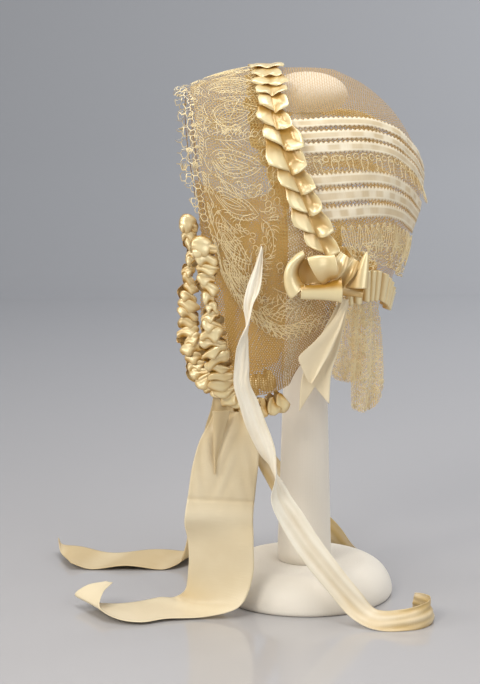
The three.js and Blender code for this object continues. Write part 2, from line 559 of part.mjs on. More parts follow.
addPiece("chin_tie_left", ribbon(CHIN_TIE_LEFT, 40), SILK_RIBBON);
addPiece("chin_tie_right", ribbon(CHIN_TIE_RIGHT, 34), SILK_RIBBON);
function streamer(end, steps, hand) {
  const { point, normal } = brimFrame(STREAMER_SEAT.at, STREAMER_SEAT.share, hand);
  const [x, y, z] = point.addScaledVector(normal, STREAMER_SEAT.lift).toArray();
  const top = { x, y, z, width: STREAMER_SEAT.width, sideX: 0, sideY: 1, sideZ: 0.1 };
  return ribbon([top, ...STREAMER_HANG, ...end], steps);
}
addPiece("streamer_left", streamer(STREAMER_LEFT_END, 42, 1), SILK_RIBBON);
addPiece("streamer_right", mirrored(streamer(STREAMER_RIGHT_END, 34, -1)), SILK_RIBBON);

export default bonnet;
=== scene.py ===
# A lace and satin-ribbon bonnet on its cloth-covered stand: shapes, materials and light in the part's frame.
import math

import bpy
import numpy as np
from mathutils import Matrix


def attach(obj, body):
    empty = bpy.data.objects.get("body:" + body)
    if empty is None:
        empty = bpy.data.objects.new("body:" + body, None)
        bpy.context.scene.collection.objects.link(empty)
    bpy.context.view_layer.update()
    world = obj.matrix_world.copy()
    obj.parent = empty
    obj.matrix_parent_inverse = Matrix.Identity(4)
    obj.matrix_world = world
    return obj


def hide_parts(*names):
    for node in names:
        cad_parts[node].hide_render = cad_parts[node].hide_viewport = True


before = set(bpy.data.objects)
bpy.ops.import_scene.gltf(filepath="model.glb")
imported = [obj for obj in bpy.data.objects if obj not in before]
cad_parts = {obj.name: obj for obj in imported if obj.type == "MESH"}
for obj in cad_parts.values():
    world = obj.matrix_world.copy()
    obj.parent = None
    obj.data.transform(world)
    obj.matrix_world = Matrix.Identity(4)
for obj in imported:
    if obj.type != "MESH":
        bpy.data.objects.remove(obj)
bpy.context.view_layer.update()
mm = 0.001
quarter = math.pi / 2
rng = np.random.default_rng(11)
hands = ((1, "left"), (-1, "right"))
ribbonWalls = {"ruched": 0.22, "pleated": 0.35, "bow": 0.4, "free": 0.45}  # drawn thickness, in mm
motifLift = 0.2  # lace thread above its ground, in mm
sheetLeast = {"width": 0.0101, "share": 0.301}  # the least width and share of area a net is taken at: metres, and area over outline


def linear(hexColour):
    # sRGB hex to linear RGBA
    c = np.array([int(hexColour[i:i + 2], 16) for i in (1, 3, 5)]) / 255
    c = np.where(c <= 0.04045, c / 12.92, ((c + 0.055) / 1.055) ** 2.4)
    return (*c.tolist(), 1.0)


def addNode(tree, kind, settings=None, inputs=None):
    # adds a node, sets its own settings, and gives each input a value or a link
    node = tree.nodes.new(kind)
    for name, value in (settings or {}).items():
        setattr(node, name, value)
    for name, value in (inputs or {}).items():
        if isinstance(value, bpy.types.NodeSocket):
            tree.links.new(value, node.inputs[name])
        else:
            node.inputs[name].default_value = value
    return node.outputs


def newMaterial(name):
    material = bpy.data.materials.new(name)
    material.use_nodes = True
    material.node_tree.nodes.clear()
    return material, material.node_tree


def finishMaterial(tree, inputs):
    shader = addNode(tree, "ShaderNodeBsdfPrincipled", None, inputs)
    addNode(tree, "ShaderNodeOutputMaterial", None, {"Surface": shader[0]})


def mixColours(tree, factor, low, high):
    ramp = addNode(tree, "ShaderNodeMix", {"data_type": "RGBA"}, {0: factor, 6: low, 7: high})
    return ramp[2]


def scaledUv(tree, alongMm, acrossMm):
    # the piece's own map in metres, scaled so that one unit is the given number of millimetres
    uv = addNode(tree, "ShaderNodeUVMap", {"uv_map": "cloth"})
    scale = (1 / (alongMm * mm), 1 / (acrossMm * mm), 1)
    return addNode(tree, "ShaderNodeVectorMath", {"operation": "MULTIPLY"}, {0: uv[0], 1: scale})[0]


def satinMaterial(name, look):
    # satin gives a broad soft shine across the folds, partly in its own colour; painted shade makes it gold
    # in their depth and painted light cream on their crests, with random cloudy tone, and on the gauze the
    # same mix draws its woven stripes; fine ribs run across the ribbon, drawn at 0.9 mm where the thread is
    # about
    # 0.2 mm; gauze lets part of what is behind it through
    material, tree = newMaterial(name)
    # each point's painted light, from painted shade at 0 to painted light at 1, and on the gauze also its
    # weave
    paintedLightAndWeave = addNode(tree, "ShaderNodeAttribute", {"attribute_name": "paintedLightAndWeave"})
    place = addNode(tree, "ShaderNodeTexCoord")
    cloud = addNode(tree, "ShaderNodeTexNoise", None,
                    {"Vector": place["Object"], "Scale": 60.0, "Detail": 2.0})
    tone = addNode(tree, "ShaderNodeMath", {"operation": "MULTIPLY_ADD"},
                   {0: cloud[0], 1: look["cloud"], 2: paintedLightAndWeave["Fac"]})
    tone = addNode(tree, "ShaderNodeMath", {"operation": "SUBTRACT", "use_clamp": True},
                   {0: tone[0], 1: look["cloud"] / 2})
    colour = mixColours(tree, tone[0], linear(look["deep"]), linear(look["paintedLightAndWeave"]))
    ribs = addNode(tree, "ShaderNodeTexNoise", None,
                   {"Vector": scaledUv(tree, 0.9, 14), "Scale": 1.0, "Detail": 2.0})
    bump = addNode(tree, "ShaderNodeBump", None,
                   {"Height": ribs[0], "Strength": look["ribs"], "Distance": 0.0004})
    finishMaterial(tree, {"Base Color": colour, "Roughness": look["roughness"], "Normal": bump[0],
                          "Metallic": look["mirror"], "Specular IOR Level": look["shine"],
                          "Coat Weight": look["shine"] / 3, "Coat Roughness": 0.26, "Alpha": look["cover"]})
    return material


def threadMaterial(name, look):
    # silk or cotton thread seen only as fine lines: soft, slightly uneven in tone; it is drawn at 0.26 to
    # 0.82 mm so that it shows, where thread has about 0.15 mm, and a net with a cover below 1 is partly
    # see-through to make up for it
    material, tree = newMaterial(name)
    place = addNode(tree, "ShaderNodeTexCoord")
    cloud = addNode(tree, "ShaderNodeTexNoise", None,
                    {"Vector": place["Object"], "Scale": look["patch"], "Detail": 3.0})
    colour = mixColours(tree, cloud[0], linear(look["low"]), linear(look["high"]))
    finishMaterial(tree, {"Base Color": colour, "Roughness": look["roughness"], "Sheen Weight": 0.2,
                          "Specular IOR Level": 0.3, "Alpha": look["cover"]})
    return material


def clothMaterial(name, look):
    # plain-woven cover of the stand: matt, its fine thread drawn at 1.1 mm where the cloth has about 0.5 mm
    material, tree = newMaterial(name)
    place = addNode(tree, "ShaderNodeTexCoord")
    cloud = addNode(tree, "ShaderNodeTexNoise", None,
                    {"Vector": place["Object"], "Scale": 14.0, "Detail": 4.0})
    colour = mixColours(tree, cloud[0], linear(look["low"]), linear(look["high"]))
    along = addNode(tree, "ShaderNodeTexWave", {"bands_direction": "X"},
                    {"Vector": scaledUv(tree, 1.1, 1.1), "Scale": 0.314, "Distortion": 0.6})
    across = addNode(tree, "ShaderNodeTexWave", {"bands_direction": "Y"},
                     {"Vector": scaledUv(tree, 1.1, 1.1), "Scale": 0.314, "Distortion": 0.6})
    weave = addNode(tree, "ShaderNodeMath", {"operation": "MULTIPLY"}, {0: along[1], 1: across[1]})
    bump = addNode(tree, "ShaderNodeBump", None,
                   {"Height": weave[0], "Strength": 0.35, "Distance": 0.0003})
    finishMaterial(tree, {"Base Color": colour, "Roughness": 0.9, "Normal": bump[0],
                          "Sheen Weight": 0.3, "Specular IOR Level": 0.2})
    return material


# in each satin look the first colour is painted shade, for folds and hollows, and the second painted light,
# for crests; on the gauze they are also the dark and light of its weave; cloud is random tone
satinLook = {"deep": "#c08f2c", "paintedLightAndWeave": "#f6e4b2", "cloud": 0.2, "ribs": 0.15,
             "roughness": 0.29, "shine": 0.9, "mirror": 0.17, "cover": 1.0}
tieLook = {"deep": "#cdb68a", "paintedLightAndWeave": "#efe2c4", "cloud": 0.3, "ribs": 0.3,
           "roughness": 0.45, "shine": 0.4, "mirror": 0.0, "cover": 1.0}
streamerLook = {"deep": "#c6a86c", "paintedLightAndWeave": "#fcf5e3", "cloud": 0.3, "ribs": 0.3,
                "roughness": 0.42, "shine": 0.45, "mirror": 0.0, "cover": 1.0}
gauzeLook = {"deep": "#ccab6c", "paintedLightAndWeave": "#fff4da", "cloud": 0.5, "ribs": 0.3,
             "roughness": 0.4, "shine": 0.5, "mirror": 0.0, "cover": 0.88}
netLook = {"low": "#bf9038", "high": "#d8b05c", "patch": 30.0, "roughness": 0.75, "cover": 0.74}
# a darker gold for the inner net of the cheeks: its colour is partly painted shade
shadeLayerLook = {"low": "#b48c48", "high": "#d0aa68", "patch": 30.0, "roughness": 0.8, "cover": 1.0}
groundLook = {"low": "#d6b36c", "high": "#e8cb8a", "patch": 40.0, "roughness": 0.75, "cover": 0.55}
lappetLook = {"low": "#d6a84a", "high": "#edc570", "patch": 50.0, "roughness": 0.7, "cover": 1.0}
laceLook = {"low": "#ebd296", "high": "#faecc6", "patch": 50.0, "roughness": 0.6, "cover": 1.0}
stiffLook = {"low": "#dacca8", "high": "#ece2c8", "patch": 60.0, "roughness": 0.7, "cover": 0.75}
boundLook = {"low": "#83602f", "high": "#a07c47", "patch": 80.0, "roughness": 0.6, "cover": 1.0}
standLook = {"low": "#e9e1d3", "high": "#f1eadd"}
satin = satinMaterial("silk satin", satinLook)
tieSilk = satinMaterial("silk tie ribbon", tieLook)
streamerSilk = satinMaterial("pale silk ribbon", streamerLook)
gauze = satinMaterial("striped gauze ribbon", gauzeLook)
silkNet = threadMaterial("silk net thread", netLook)
shadeLayerNet = threadMaterial("shade layer net thread", shadeLayerLook)
groundNet = threadMaterial("blonde lace ground", groundLook)
lappetNet = threadMaterial("golden lace ground", lappetLook)
laceThread = threadMaterial("blonde lace thread", laceLook)
stiffNet = threadMaterial("stiffened cotton net", stiffLook)
boundThread = threadMaterial("thread-bound wire", boundLook)
coverCloth = clothMaterial("cotton stand cover", standLook)
print("materials made")


def makeObject(name, points, faces, uv=None, paintedLightAndWeave=None, material=None, smooth=True):
    # points in millimetres, faces as one array of quads or triangles, or a list of such arrays
    groups = faces if isinstance(faces, list) else [faces]
    loops = np.concatenate([f.ravel() for f in groups]).astype(np.int32)
    sizes = np.concatenate([np.full(len(f), f.shape[1]) for f in groups]).astype(np.int32)
    starts = np.concatenate([[0], np.cumsum(sizes)[:-1]]).astype(np.int32)
    mesh = bpy.data.meshes.new(name)
    mesh.vertices.add(len(points))
    mesh.vertices.foreach_set("co", (points * mm).astype(np.float32).ravel())
    mesh.loops.add(len(loops))
    mesh.loops.foreach_set("vertex_index", loops)
    mesh.polygons.add(len(sizes))
    mesh.polygons.foreach_set("loop_start", starts)
    mesh.polygons.foreach_set("loop_total", sizes)
    mesh.update(calc_edges=True)
    mesh.polygons.foreach_set("use_smooth", np.full(len(sizes), smooth))
    if uv is not None:
        layer = mesh.uv_layers.new(name="cloth")
        layer.data.foreach_set("uv", (uv[loops] * mm).astype(np.float32).ravel())
    # a per-point painted light, and on the gauze its weave, that the satin materials read
    if paintedLightAndWeave is not None:
        layer = mesh.attributes.new("paintedLightAndWeave", "FLOAT", "POINT")
        layer.data.foreach_set("value", paintedLightAndWeave.astype(np.float32).ravel())
    mesh.materials.append(material)
    piece = bpy.data.objects.new(name, mesh)
    bpy.context.scene.collection.objects.link(piece)
    return piece


def gridFaces(n, m, closeU=False, closeV=False):
    # quads of an n by m grid of points, joined round where a direction closes
    i, j = np.meshgrid(np.arange(n if closeU else n - 1), np.arange(m if closeV else m - 1), indexing="ij")
    i, j = i.ravel(), j.ravel()
    ii, jj = (i + 1) % n, (j + 1) % m
    return np.stack([i * m + j, ii * m + j, ii * m + jj, i * m + jj], axis=1)


def runAlong(line):
    # the length along a line of points, from its first one
    return np.concatenate([[0], np.cumsum(np.linalg.norm(np.diff(line, axis=0), axis=1))])


def gridPiece(name, grids, material, closeV=False, flip=False):
    # a piece from grids of points, each with its painted light, and on the gauze its weave; its map holds the
    # lengths along and across in mm
    points, faces, uvs, paintedLightsAndWeaves, start = [], [], [], [], 0
    for grid, paintedLightAndWeave in grids:
        n, m = grid.shape[:2]
        along = runAlong(grid[:, m // 2])
        steps = np.linalg.norm(np.diff(grid, axis=1), axis=2).mean(axis=0)
        across = np.concatenate([[0], np.cumsum(steps)])
        uvs.append(np.stack(np.meshgrid(along, across, indexing="ij"), axis=-1).reshape(-1, 2))
        quads = gridFaces(n, m, closeV=closeV) + start
        faces.append(quads[:, ::-1] if flip else quads)
        points.append(grid.reshape(-1, 3))
        paintedLightsAndWeaves.append(np.broadcast_to(paintedLightAndWeave, (n, m)).ravel())
        start += n * m
    return makeObject(name, np.concatenate(points), faces, np.concatenate(uvs), np.concatenate(paintedLightsAndWeaves),
                      material)


def thickenPiece(piece, wallMm):
    wall = piece.modifiers.new("wall", "SOLIDIFY")
    wall.thickness = wallMm * mm
    wall.offset = 0.0
    return piece


def smoothTable(rows, at):
    # the value at each place: a cubic between two rows whose slopes come from the rows on both sides
    rows = np.asarray(rows, float)
    x, y = rows[:, 0], rows[:, 1:]
    slope = np.gradient(y, x, axis=0)
    at = np.asarray(at, float)
    i = np.clip(np.searchsorted(x, at, "right") - 1, 0, len(x) - 2)
    h = (x[i + 1] - x[i])[..., None]
    t = (at - x[i])[..., None] / h
    rise = (2 * t - 3) * t * t * (y[i] - y[i + 1]) + y[i]
    return rise + (t ** 3 - 2 * t * t + t) * h * slope[i] + (t ** 3 - t * t) * h * slope[i + 1]


def smoothStep(x, low, high):
    t = np.clip((x - low) / (high - low), 0, 1)
    return t * t * (3 - 2 * t)


def unit(v):
    return v / np.maximum(np.linalg.norm(v, axis=-1, keepdims=True), 1e-9)


def gridNormals(points):
    # the cross product of the grid's two directions at each point
    return unit(np.cross(np.gradient(points, axis=0), np.gradient(points, axis=1)))


# station, front edge and rear edge of the brim, from its top centre to the chin; the last row runs on below
brimHalf = np.array([
    [0, 0, -90, 396, 0, -31.7, 411], [1, 45, -89, 386, 42, -33, 394], [2, 64, -88.5, 369, 60, -31, 379],
    [3, 74, -85.5, 341, 73, -24, 350], [4, 76, -80, 308, 77, -7, 308], [5, 72, -70, 260, 72, 10, 266],
    [6, 65, -66, 221, 64, 15, 226], [7, 55, -60, 189, 54, -9, 193], [8, 45, -47, 168, 47, -17, 176],
    [9, 36, -35, 151, 41, -20, 159],
])
brimRows = np.concatenate([(brimHalf * [-1, -1, 1, 1, -1, 1, 1])[:0:-1], brimHalf])
# station and back line of the crown
crownRows = np.array([
    [0, 19, 410], [0.7, 46, 396], [1.3, 67, 376], [2.05, 85, 343], [2.9, 87, 320], [3.5, 85, 303],
    [4.05, 80, 288], [4.5, 75, 273], [5, 66, 252], [5.6, 58, 227],
])
brimShape = {"chin": 8, "bulge": 3, "headZ": 300, "forward": 14, "drop": 6, "swayFrom": 3.6, "swayTo": 6.6}
crownShape = {"rise": 3, "power": 5, "last": 5.6}


def brimPoint(at, share):
    # a straight line from front to rear edge at each station, bulged outwards; the right cheek swings forward
    at, share = np.broadcast_arrays(np.asarray(at, float), np.asarray(share, float))
    row = smoothTable(brimRows, at)
    sway = smoothStep(-at, brimShape["swayFrom"], brimShape["swayTo"])[..., None]
    front = row[..., :3] - sway * np.array([0, brimShape["forward"], brimShape["drop"]])
    point = front + (row[..., 3:] - front) * share[..., None]
    out = unit(point[..., [0, 2]] - [0, brimShape["headZ"]])
    bulge = brimShape["bulge"] * 4 * np.maximum(0, share * (1 - share))[..., None]
    point = point.copy()
    point[..., [0, 2]] += out * bulge
    return point


def crownPoint(at, angle):
    # at each station an elliptic slice from the left seam, angle 0, round the back to the right one, angle pi
    at, angle = np.broadcast_arrays(np.asarray(at, float), np.asarray(angle, float))
    seam = smoothTable(brimRows, np.abs(at))[..., 3:]
    back = smoothTable(crownRows, np.abs(at))
    s, c = np.sin(angle), np.cos(angle)
    y = seam[..., 1] + (back[..., 0] - seam[..., 1]) * s
    z = seam[..., 2] + (back[..., 1] - seam[..., 2]) * s ** crownShape["power"]
    z = z + crownShape["rise"] * np.minimum(1, np.abs(at) / 2) * np.sin(2 * angle) ** 2
    return np.stack([seam[..., 0] * c, y, z], axis=-1)


class Patch:
    # a surface unrolled in millimetres: s runs along its rows and t across them, by length

    def __init__(self, points):
        n, m = points.shape[:2]
        lengths = np.linalg.norm(np.diff(points, axis=1), axis=2)
        run = np.concatenate([np.zeros((n, 1)), np.cumsum(lengths, axis=1)], axis=1)
        even = np.linspace(0, 1, m)
        self.points = np.stack([
            np.stack([np.interp(even * r[-1], r, p[:, k]) for k in range(3)], axis=1)
            for r, p in zip(run, points)])
        self.depth = run[:, -1]
        self.run = runAlong(self.points[:, m // 2])
        self.normals = gridNormals(self.points)
        self.length = self.run[-1]

    def depthAt(self, s):
        return np.interp(s, self.run, self.depth)

    def inside(self, s, t, margin=0.0):
        return (s > margin) & (s < self.length - margin) & (t > margin) & (t < self.depthAt(s) - margin)

    def at(self, s, t, lift=0.0):
        # blends the four grid points round each place
        n, m = self.points.shape[:2]
        row = np.interp(s, self.run, np.arange(n))
        col = np.clip(t / np.maximum(self.depthAt(s), 1e-6), 0, 1) * (m - 1)
        i = np.clip(row.astype(int), 0, n - 2)
        j = np.clip(col.astype(int), 0, m - 2)
        a, b = (row - i)[..., None], (col - j)[..., None]

        def blend(g):
            return ((1 - a) * (1 - b) * g[i, j] + a * (1 - b) * g[i + 1, j]
                    + (1 - a) * b * g[i, j + 1] + a * b * g[i + 1, j + 1])
        normal = unit(blend(self.normals))
        return blend(self.points) + normal * np.asarray(lift)[..., None], normal


def netPiece(name, patch, pitch, thread, material, lift=0.0, keep=None, turn=0.0):
    # a six-sided net laid on a patch: each crossing is a small triangle and each thread a strip between two
    size = np.hypot(patch.length, patch.depth.max())
    count = int(size / pitch) + 2
    i, j = np.meshgrid(np.arange(-count, count), np.arange(-count, count), indexing="ij")
    x = pitch * (i + j / 2)
    y = pitch * math.sqrt(3) / 2 * j
    centre = np.array([patch.length / 2, patch.depth.max() / 2])

    def turned(px, py):
        c, s = math.cos(turn), math.sin(turn)
        return centre[0] + c * px - s * py, centre[1] + s * px + c * py
    radius, rise = thread / math.sqrt(3), pitch / math.sqrt(3)
    anglesA, anglesB = np.radians([30, 150, 270]), np.radians([90, 210, 330])
    sA, tA = turned(x, y)
    sB, tB = turned(x, y + rise)
    insideA, insideB = patch.inside(sA, tA), patch.inside(sB, tB)
    if keep is not None:
        insideA &= keep(sA, tA)
        insideB &= keep(sB, tB)
    cornerA = [turned(x + radius * math.cos(a), y + radius * math.sin(a)) for a in anglesA]
    cornerB = [turned(x + radius * math.cos(a), y + rise + radius * math.sin(a)) for a in anglesB]
    total = i.size
    grid = np.arange(total).reshape(i.shape)
    a = [grid * 6 + k for k in range(3)]
    b = [grid * 6 + 3 + k for k in range(3)]
    s = np.stack([c[0] for c in cornerA] + [c[0] for c in cornerB], axis=-1).ravel()
    t = np.stack([c[1] for c in cornerA] + [c[1] for c in cornerB], axis=-1).ravel()
    # threads in the three directions, each from a crossing A to its neighbour B
    both = insideA & insideB
    upright = np.stack([a[0][both], b[2][both], b[1][both], a[1][both]], axis=1)
    upA, downB = [g[:, 1:] for g in a], [g[:, :-1] for g in b]
    both = insideA[:, 1:] & insideB[:, :-1]
    falling = np.stack([upA[1][both], downB[0][both], downB[2][both], upA[2][both]], axis=1)
    hereA, nextB = [g[:-1, 1:] for g in a], [g[1:, :-1] for g in b]
    both = insideA[:-1, 1:] & insideB[1:, :-1]
    rising = np.stack([hereA[2][both], nextB[1][both], nextB[0][both], hereA[0][both]], axis=1)
    quads = np.concatenate([upright, falling, rising])
    used = np.zeros(total * 2, bool)
    used[quads.ravel() // 3] = True
    knots = np.flatnonzero(used)
    triangles = knots[:, None] * 3 + np.arange(3)
    where = np.full(total * 6, -1)
    points = triangles.ravel()
    where[points] = np.arange(len(points))
    place, _ = patch.at(s[points], np.maximum(t[points], 0), lift)
    uv = np.stack([s[points], t[points]], axis=1)
    return makeObject(name, place, [where[quads], where[triangles]], uv, None, material, smooth=False)


def threadPiece(name, patch, lines, width, material, lift=0.5, height=0.3):
    # threads laid along lines on a patch: a three-sided section that tapers to nothing at both ends
    points, quads, uvs = [], [], []
    start = 0
    for line in lines:
        line = np.asarray(line, float)
        if not patch.inside(line[:, 0], line[:, 1], -0.5).all():
            continue
        place, normal = patch.at(line[:, 0], line[:, 1], lift)
        side = unit(np.cross(normal, np.gradient(place, axis=0)))
        k = len(line)
        end = np.full((k, 1), 1.0)
        end[[0, -1]] = 0.15
        section = np.stack([place + side * width / 2 * end, place + normal * height * end,
                            place - side * width / 2 * end], axis=1)
        points.append(section.reshape(-1, 3))
        uvs.append(np.repeat(line, 3, axis=0))
        quads.append(gridFaces(k, 3, closeV=True) + start)
        start += 3 * k
    return makeObject(name, np.concatenate(points), np.concatenate(quads), np.concatenate(uvs), None,
                      material)


def ride(piece, *nodes, slot=None):
    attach(piece, "root")
    if nodes:
        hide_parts(*nodes)
    return piece


def meshArea(piece):
    # area of the piece's faces in square metres
    areas = np.empty(len(piece.data.polygons))
    piece.data.polygons.foreach_get("area", areas)
    return float(areas.sum())


def netSheet(piece, patch):
    # works out a net's unrolled size and, as its area, not the whole cut but that of its drawn threads,
    # or the least share where they cover less; nothing is done with them
    width, length = max(float(patch.depth.mean()) * mm, sheetLeast["width"]), patch.length * mm
    area = min(max(meshArea(piece), sheetLeast["share"] * width * length), width * length)


# stand
standShape = {"baseRadius": 69.6, "foot": 68, "side": 2.4, "baseTop": 26.4, "flat": 46, "postFoot": 21.3,
              "postTop": 11, "postBottom": 26.7, "postEnd": 377.7, "padRadius": 31, "padBottom": 378,
              "padMiddle": 391, "padTop": 408.2, "padFlat": 12, "around": 120}


def lathe(name, profile, material):
    # a profile of radius and height turned round Z; its ends lie on the axis
    profile = np.asarray(profile, float)
    angle = np.linspace(0, 2 * math.pi, standShape["around"], endpoint=False)
    ring = profile[1:-1]
    x = ring[:, None, 0] * np.cos(angle)
    y = ring[:, None, 0] * np.sin(angle)
    z = np.broadcast_to(ring[:, None, 1], x.shape)
    points = np.stack([x, y, z], axis=-1)
    n, m = points.shape[:2]
    allPoints = np.concatenate([points.reshape(-1, 3), [[0, 0, profile[0, 1]], [0, 0, profile[-1, 1]]]])
    j = np.arange(m)
    bottom = np.stack([np.full(m, n * m), (j + 1) % m, j], axis=1)
    top = np.stack([np.full(m, n * m + 1), (n - 1) * m + j, (n - 1) * m + (j + 1) % m], axis=1)
    sides = gridFaces(n, m, closeV=True)[:, ::-1]
    run = runAlong(ring)
    mean = ring[:, 0].mean()
    uv = np.stack(np.broadcast_arrays(run[:, None], angle[None] * mean), axis=-1).reshape(-1, 2)
    uv = np.concatenate([uv, [[0, 0], [run[-1], 0]]])
    return makeObject(name, allPoints, [sides, bottom, top], uv, None, material)


def dome(radius, bottom, top, flat, steps):
    # a quarter of an ellipse from the rim up, or down, to the flat middle
    angle = np.linspace(0, quarter, steps)
    x, z = flat + (radius - flat) * np.cos(angle), bottom + (top - bottom) * np.sin(angle)
    return np.stack([x, z], axis=1)


s = standShape
baseSides = dome(s["baseRadius"], s["side"], s["baseTop"], s["flat"], 22)
baseFoot = [[0, 0], [s["foot"] - 1, 0], [s["foot"] + 0.6, 0.5]]
base = lathe("stand_base_cover", np.concatenate([baseFoot, baseSides, [[0, s["baseTop"]]]]), coverCloth)
ride(base, "stand_base", slot="white_cloth")
heights = np.linspace(0, 1, 40)
postSides = np.stack([s["postFoot"] + (s["postTop"] - s["postFoot"]) * heights,
                      s["postBottom"] + (s["postEnd"] - s["postBottom"]) * heights], axis=1)
postSides[0, 0] -= 0.6
postProfile = np.concatenate([[[0, s["postBottom"]]], postSides, [[0, s["postEnd"]]]])
post = lathe("stand_post_cover", postProfile, coverCloth)
ride(post, "stand_post", slot="white_cloth")
below = dome(s["padRadius"], s["padMiddle"], s["padBottom"], s["padFlat"], 12)[::-1]
above = dome(s["padRadius"], s["padMiddle"], s["padTop"], 0.5, 18)[1:]
padProfile = np.concatenate([[[0, s["padBottom"]]], below, above, [[0, s["padTop"]]]])
pad = lathe("stand_pad", padProfile, coverCloth)
ride(pad, "stand_pad", slot="white_cloth")
print("stand made")

# brim and crown net
brimStations, brimShares = brimShape["chin"] * np.linspace(-1, 1, 260), np.linspace(0, 1, 40)
brimPatch = Patch(brimPoint(brimStations[:, None], brimShares[None]))
brimNet = {"pitch": 2.2, "thread": 0.26, "lift": 0.4, "shadeLayerPitch": 1.9, "shadeLayerThread": 0.82,
          "shadeLayerLift": -0.5, "shadeLayerFrom": 3.5, "shadeLayerDip": 0.6}
brim = netPiece("brim_net", brimPatch, brimNet["pitch"], brimNet["thread"], silkNet, brimNet["lift"])
ride(brim, "brim", slot="silk_net")
netSheet(brim, brimPatch)
# a denser net of darker gold inside each cheek: an added layer of net, and its darker colour painted shade
# for the shade inside the cheek
for hand, word in hands:
    # its upper edge dips between the front and the rear edge of the brim
    down = np.linspace(0, 1, 120)[:, None]
    upper = brimNet["shadeLayerFrom"] + brimNet["shadeLayerDip"] * np.sin(2.4 * brimShares[None] + 0.3)
    stations = hand * (upper + (brimShape["chin"] - upper) * down)[::hand]
    patch = Patch(brimPoint(stations, brimShares[None]))
    shadeLayer = netPiece(f"cheek_shade_layer_{word}", patch, brimNet["shadeLayerPitch"], brimNet["shadeLayerThread"],
                      shadeLayerNet, brimNet["shadeLayerLift"], turn=0.5)
    ride(shadeLayer, slot="silk_net")
    netSheet(shadeLayer, patch)

crownNet = {"pitch": 2.2, "thread": 0.46, "lift": 0.5}
crownAngles = np.linspace(0.0, quarter, 60)
crownStations = np.linspace(0.02, crownShape["last"], 120)
for hand, word in hands:
    shape = crownPoint(crownStations[:, None], crownAngles[None])
    shape = shape if hand > 0 else (shape * [-1, 1, 1])[::-1]
    patch = Patch(shape)
    half = netPiece(f"crown_net_{word}", patch, crownNet["pitch"], crownNet["thread"], silkNet,
                    crownNet["lift"])
    ride(half, *(["crown"] if hand > 0 else []), slot="silk_net")
    netSheet(half, patch)
print("nets made")


# lace motifs, in millimetres on the unrolled lace
def leafLines(base, tip, bulge, rungs, bend=0.0):
    # a pointed oval from base to tip, a middle vein, and rungs from side to side
    base, tip = np.asarray(base, float), np.asarray(tip, float)
    axis = tip - base
    side = np.array([-axis[1], axis[0]]) / np.linalg.norm(axis)
    u = np.linspace(0, 1, 15)[:, None]
    curve = base + axis * u + side * bend * np.sin(math.pi * u)
    width = bulge * np.sin(math.pi * u ** 0.8)
    lines = [np.concatenate([curve + side * width, (curve - side * width)[::-1]]), curve]
    for r in np.linspace(0.18, 0.85, rungs):
        c = base + axis * r + side * bend * math.sin(math.pi * r)
        w = bulge * math.sin(math.pi * r ** 0.8)
        lines.append(np.linspace(c - side * w, c + side * w, 4))
    return lines


def ringLine(centre, radius, sides=10):
    a = np.linspace(0, 2 * math.pi, sides + 1)
    return np.asarray(centre) + radius * np.stack([np.cos(a), np.sin(a)], axis=1)


def curveLine(a, b, c, count=14):
    # a curve from a to c, drawn towards b
    u = np.linspace(0, 1, count)[:, None]
    a, b, c = (np.asarray(p, float) for p in (a, b, c))
    return (1 - u) ** 2 * a + 2 * u * (1 - u) * b + u * u * c


def scallopLines(length, pitch, height, start, base=0.0):
    # a row of half rings of the given pitch along s, standing at t = base
    centres = np.arange(start + pitch / 2, length - pitch / 2, pitch)
    a = np.linspace(0, math.pi, 9)
    arc = np.stack([np.cos(a) * pitch / 2, base - np.sin(a) * height], axis=1)
    return [arc + [c, 0] for c in centres]


def fernLines(base, angle, length, curl, twigs):
    # a bent stem with twigs on both sides that shorten towards its tip
    u = np.linspace(0, 1, 12)
    heading = angle + curl * u
    step = length / 11 * np.stack([np.cos(heading), np.sin(heading)], axis=1)
    stem = np.asarray(base, float) + np.concatenate([np.zeros((1, 2)), np.cumsum(step[:-1], axis=0)])
    lines = [stem]
    for k in np.linspace(2, 10, twigs).astype(int):
        for side in (1, -1):
            turn = heading[k] + side * np.linspace(1.1, 0.4, 5)
            reach = 0.09 * length * (1.25 - u[k])
            twig = np.stack([np.cos(turn), np.sin(turn)], axis=1)
            lines.append(stem[k] + np.cumsum(reach * twig, axis=0) - reach)
    return lines


def sprayUnit(width, flip):
    # one repeat of the lace: a nested pointed bud with a laddered rim, a fern behind, stems and rings beside
    m = width / 2
    lines = []
    for shrink in (0, 3, 6.5, 9):
        lines += leafLines((m, 12 + shrink), (m + 2 * flip, 52 - 1.6 * shrink), 11.5 - shrink, 0)[:1]
    for k in np.linspace(0.35, 0.95, 9):
        for side in (1, -1):
            w = math.sin(math.pi * k ** 0.8)
            outer, inner = (m + side * 11.5 * w, 12 + 40 * k), (m + side * 8.5 * w, 15 + 32 * k)
            lines.append(np.linspace(outer, inner, 4))
    lines += fernLines((m, 54), quarter + 0.6 * flip, 24, 0.9 * flip, 6)
    lines += fernLines((1, 16), quarter - 0.1 * flip, 30, 0.5 * flip, 6)
    lines += [curveLine((m, 10), (m - 12, 5), (1, 14)), curveLine((m, 10), (m + 12, 5), (width - 1, 14))]
    lines += [ringLine((2 + 3.6 * k, 50 + 3.5 * k), 2.0, 7) for k in range(4)]
    lines += [ringLine((width - 3, 36 + 4.4 * k), 1.9, 7) for k in range(4)]
    lines += [ringLine((m - 9 + 4.5 * k, 5), 2.0, 8) for k in range(5)]
    lines += [ringLine((width * (k + 0.5) / 7, 58 + 4.6 * (k % 2)), 2.6, 6) for k in range(7)]
    return lines


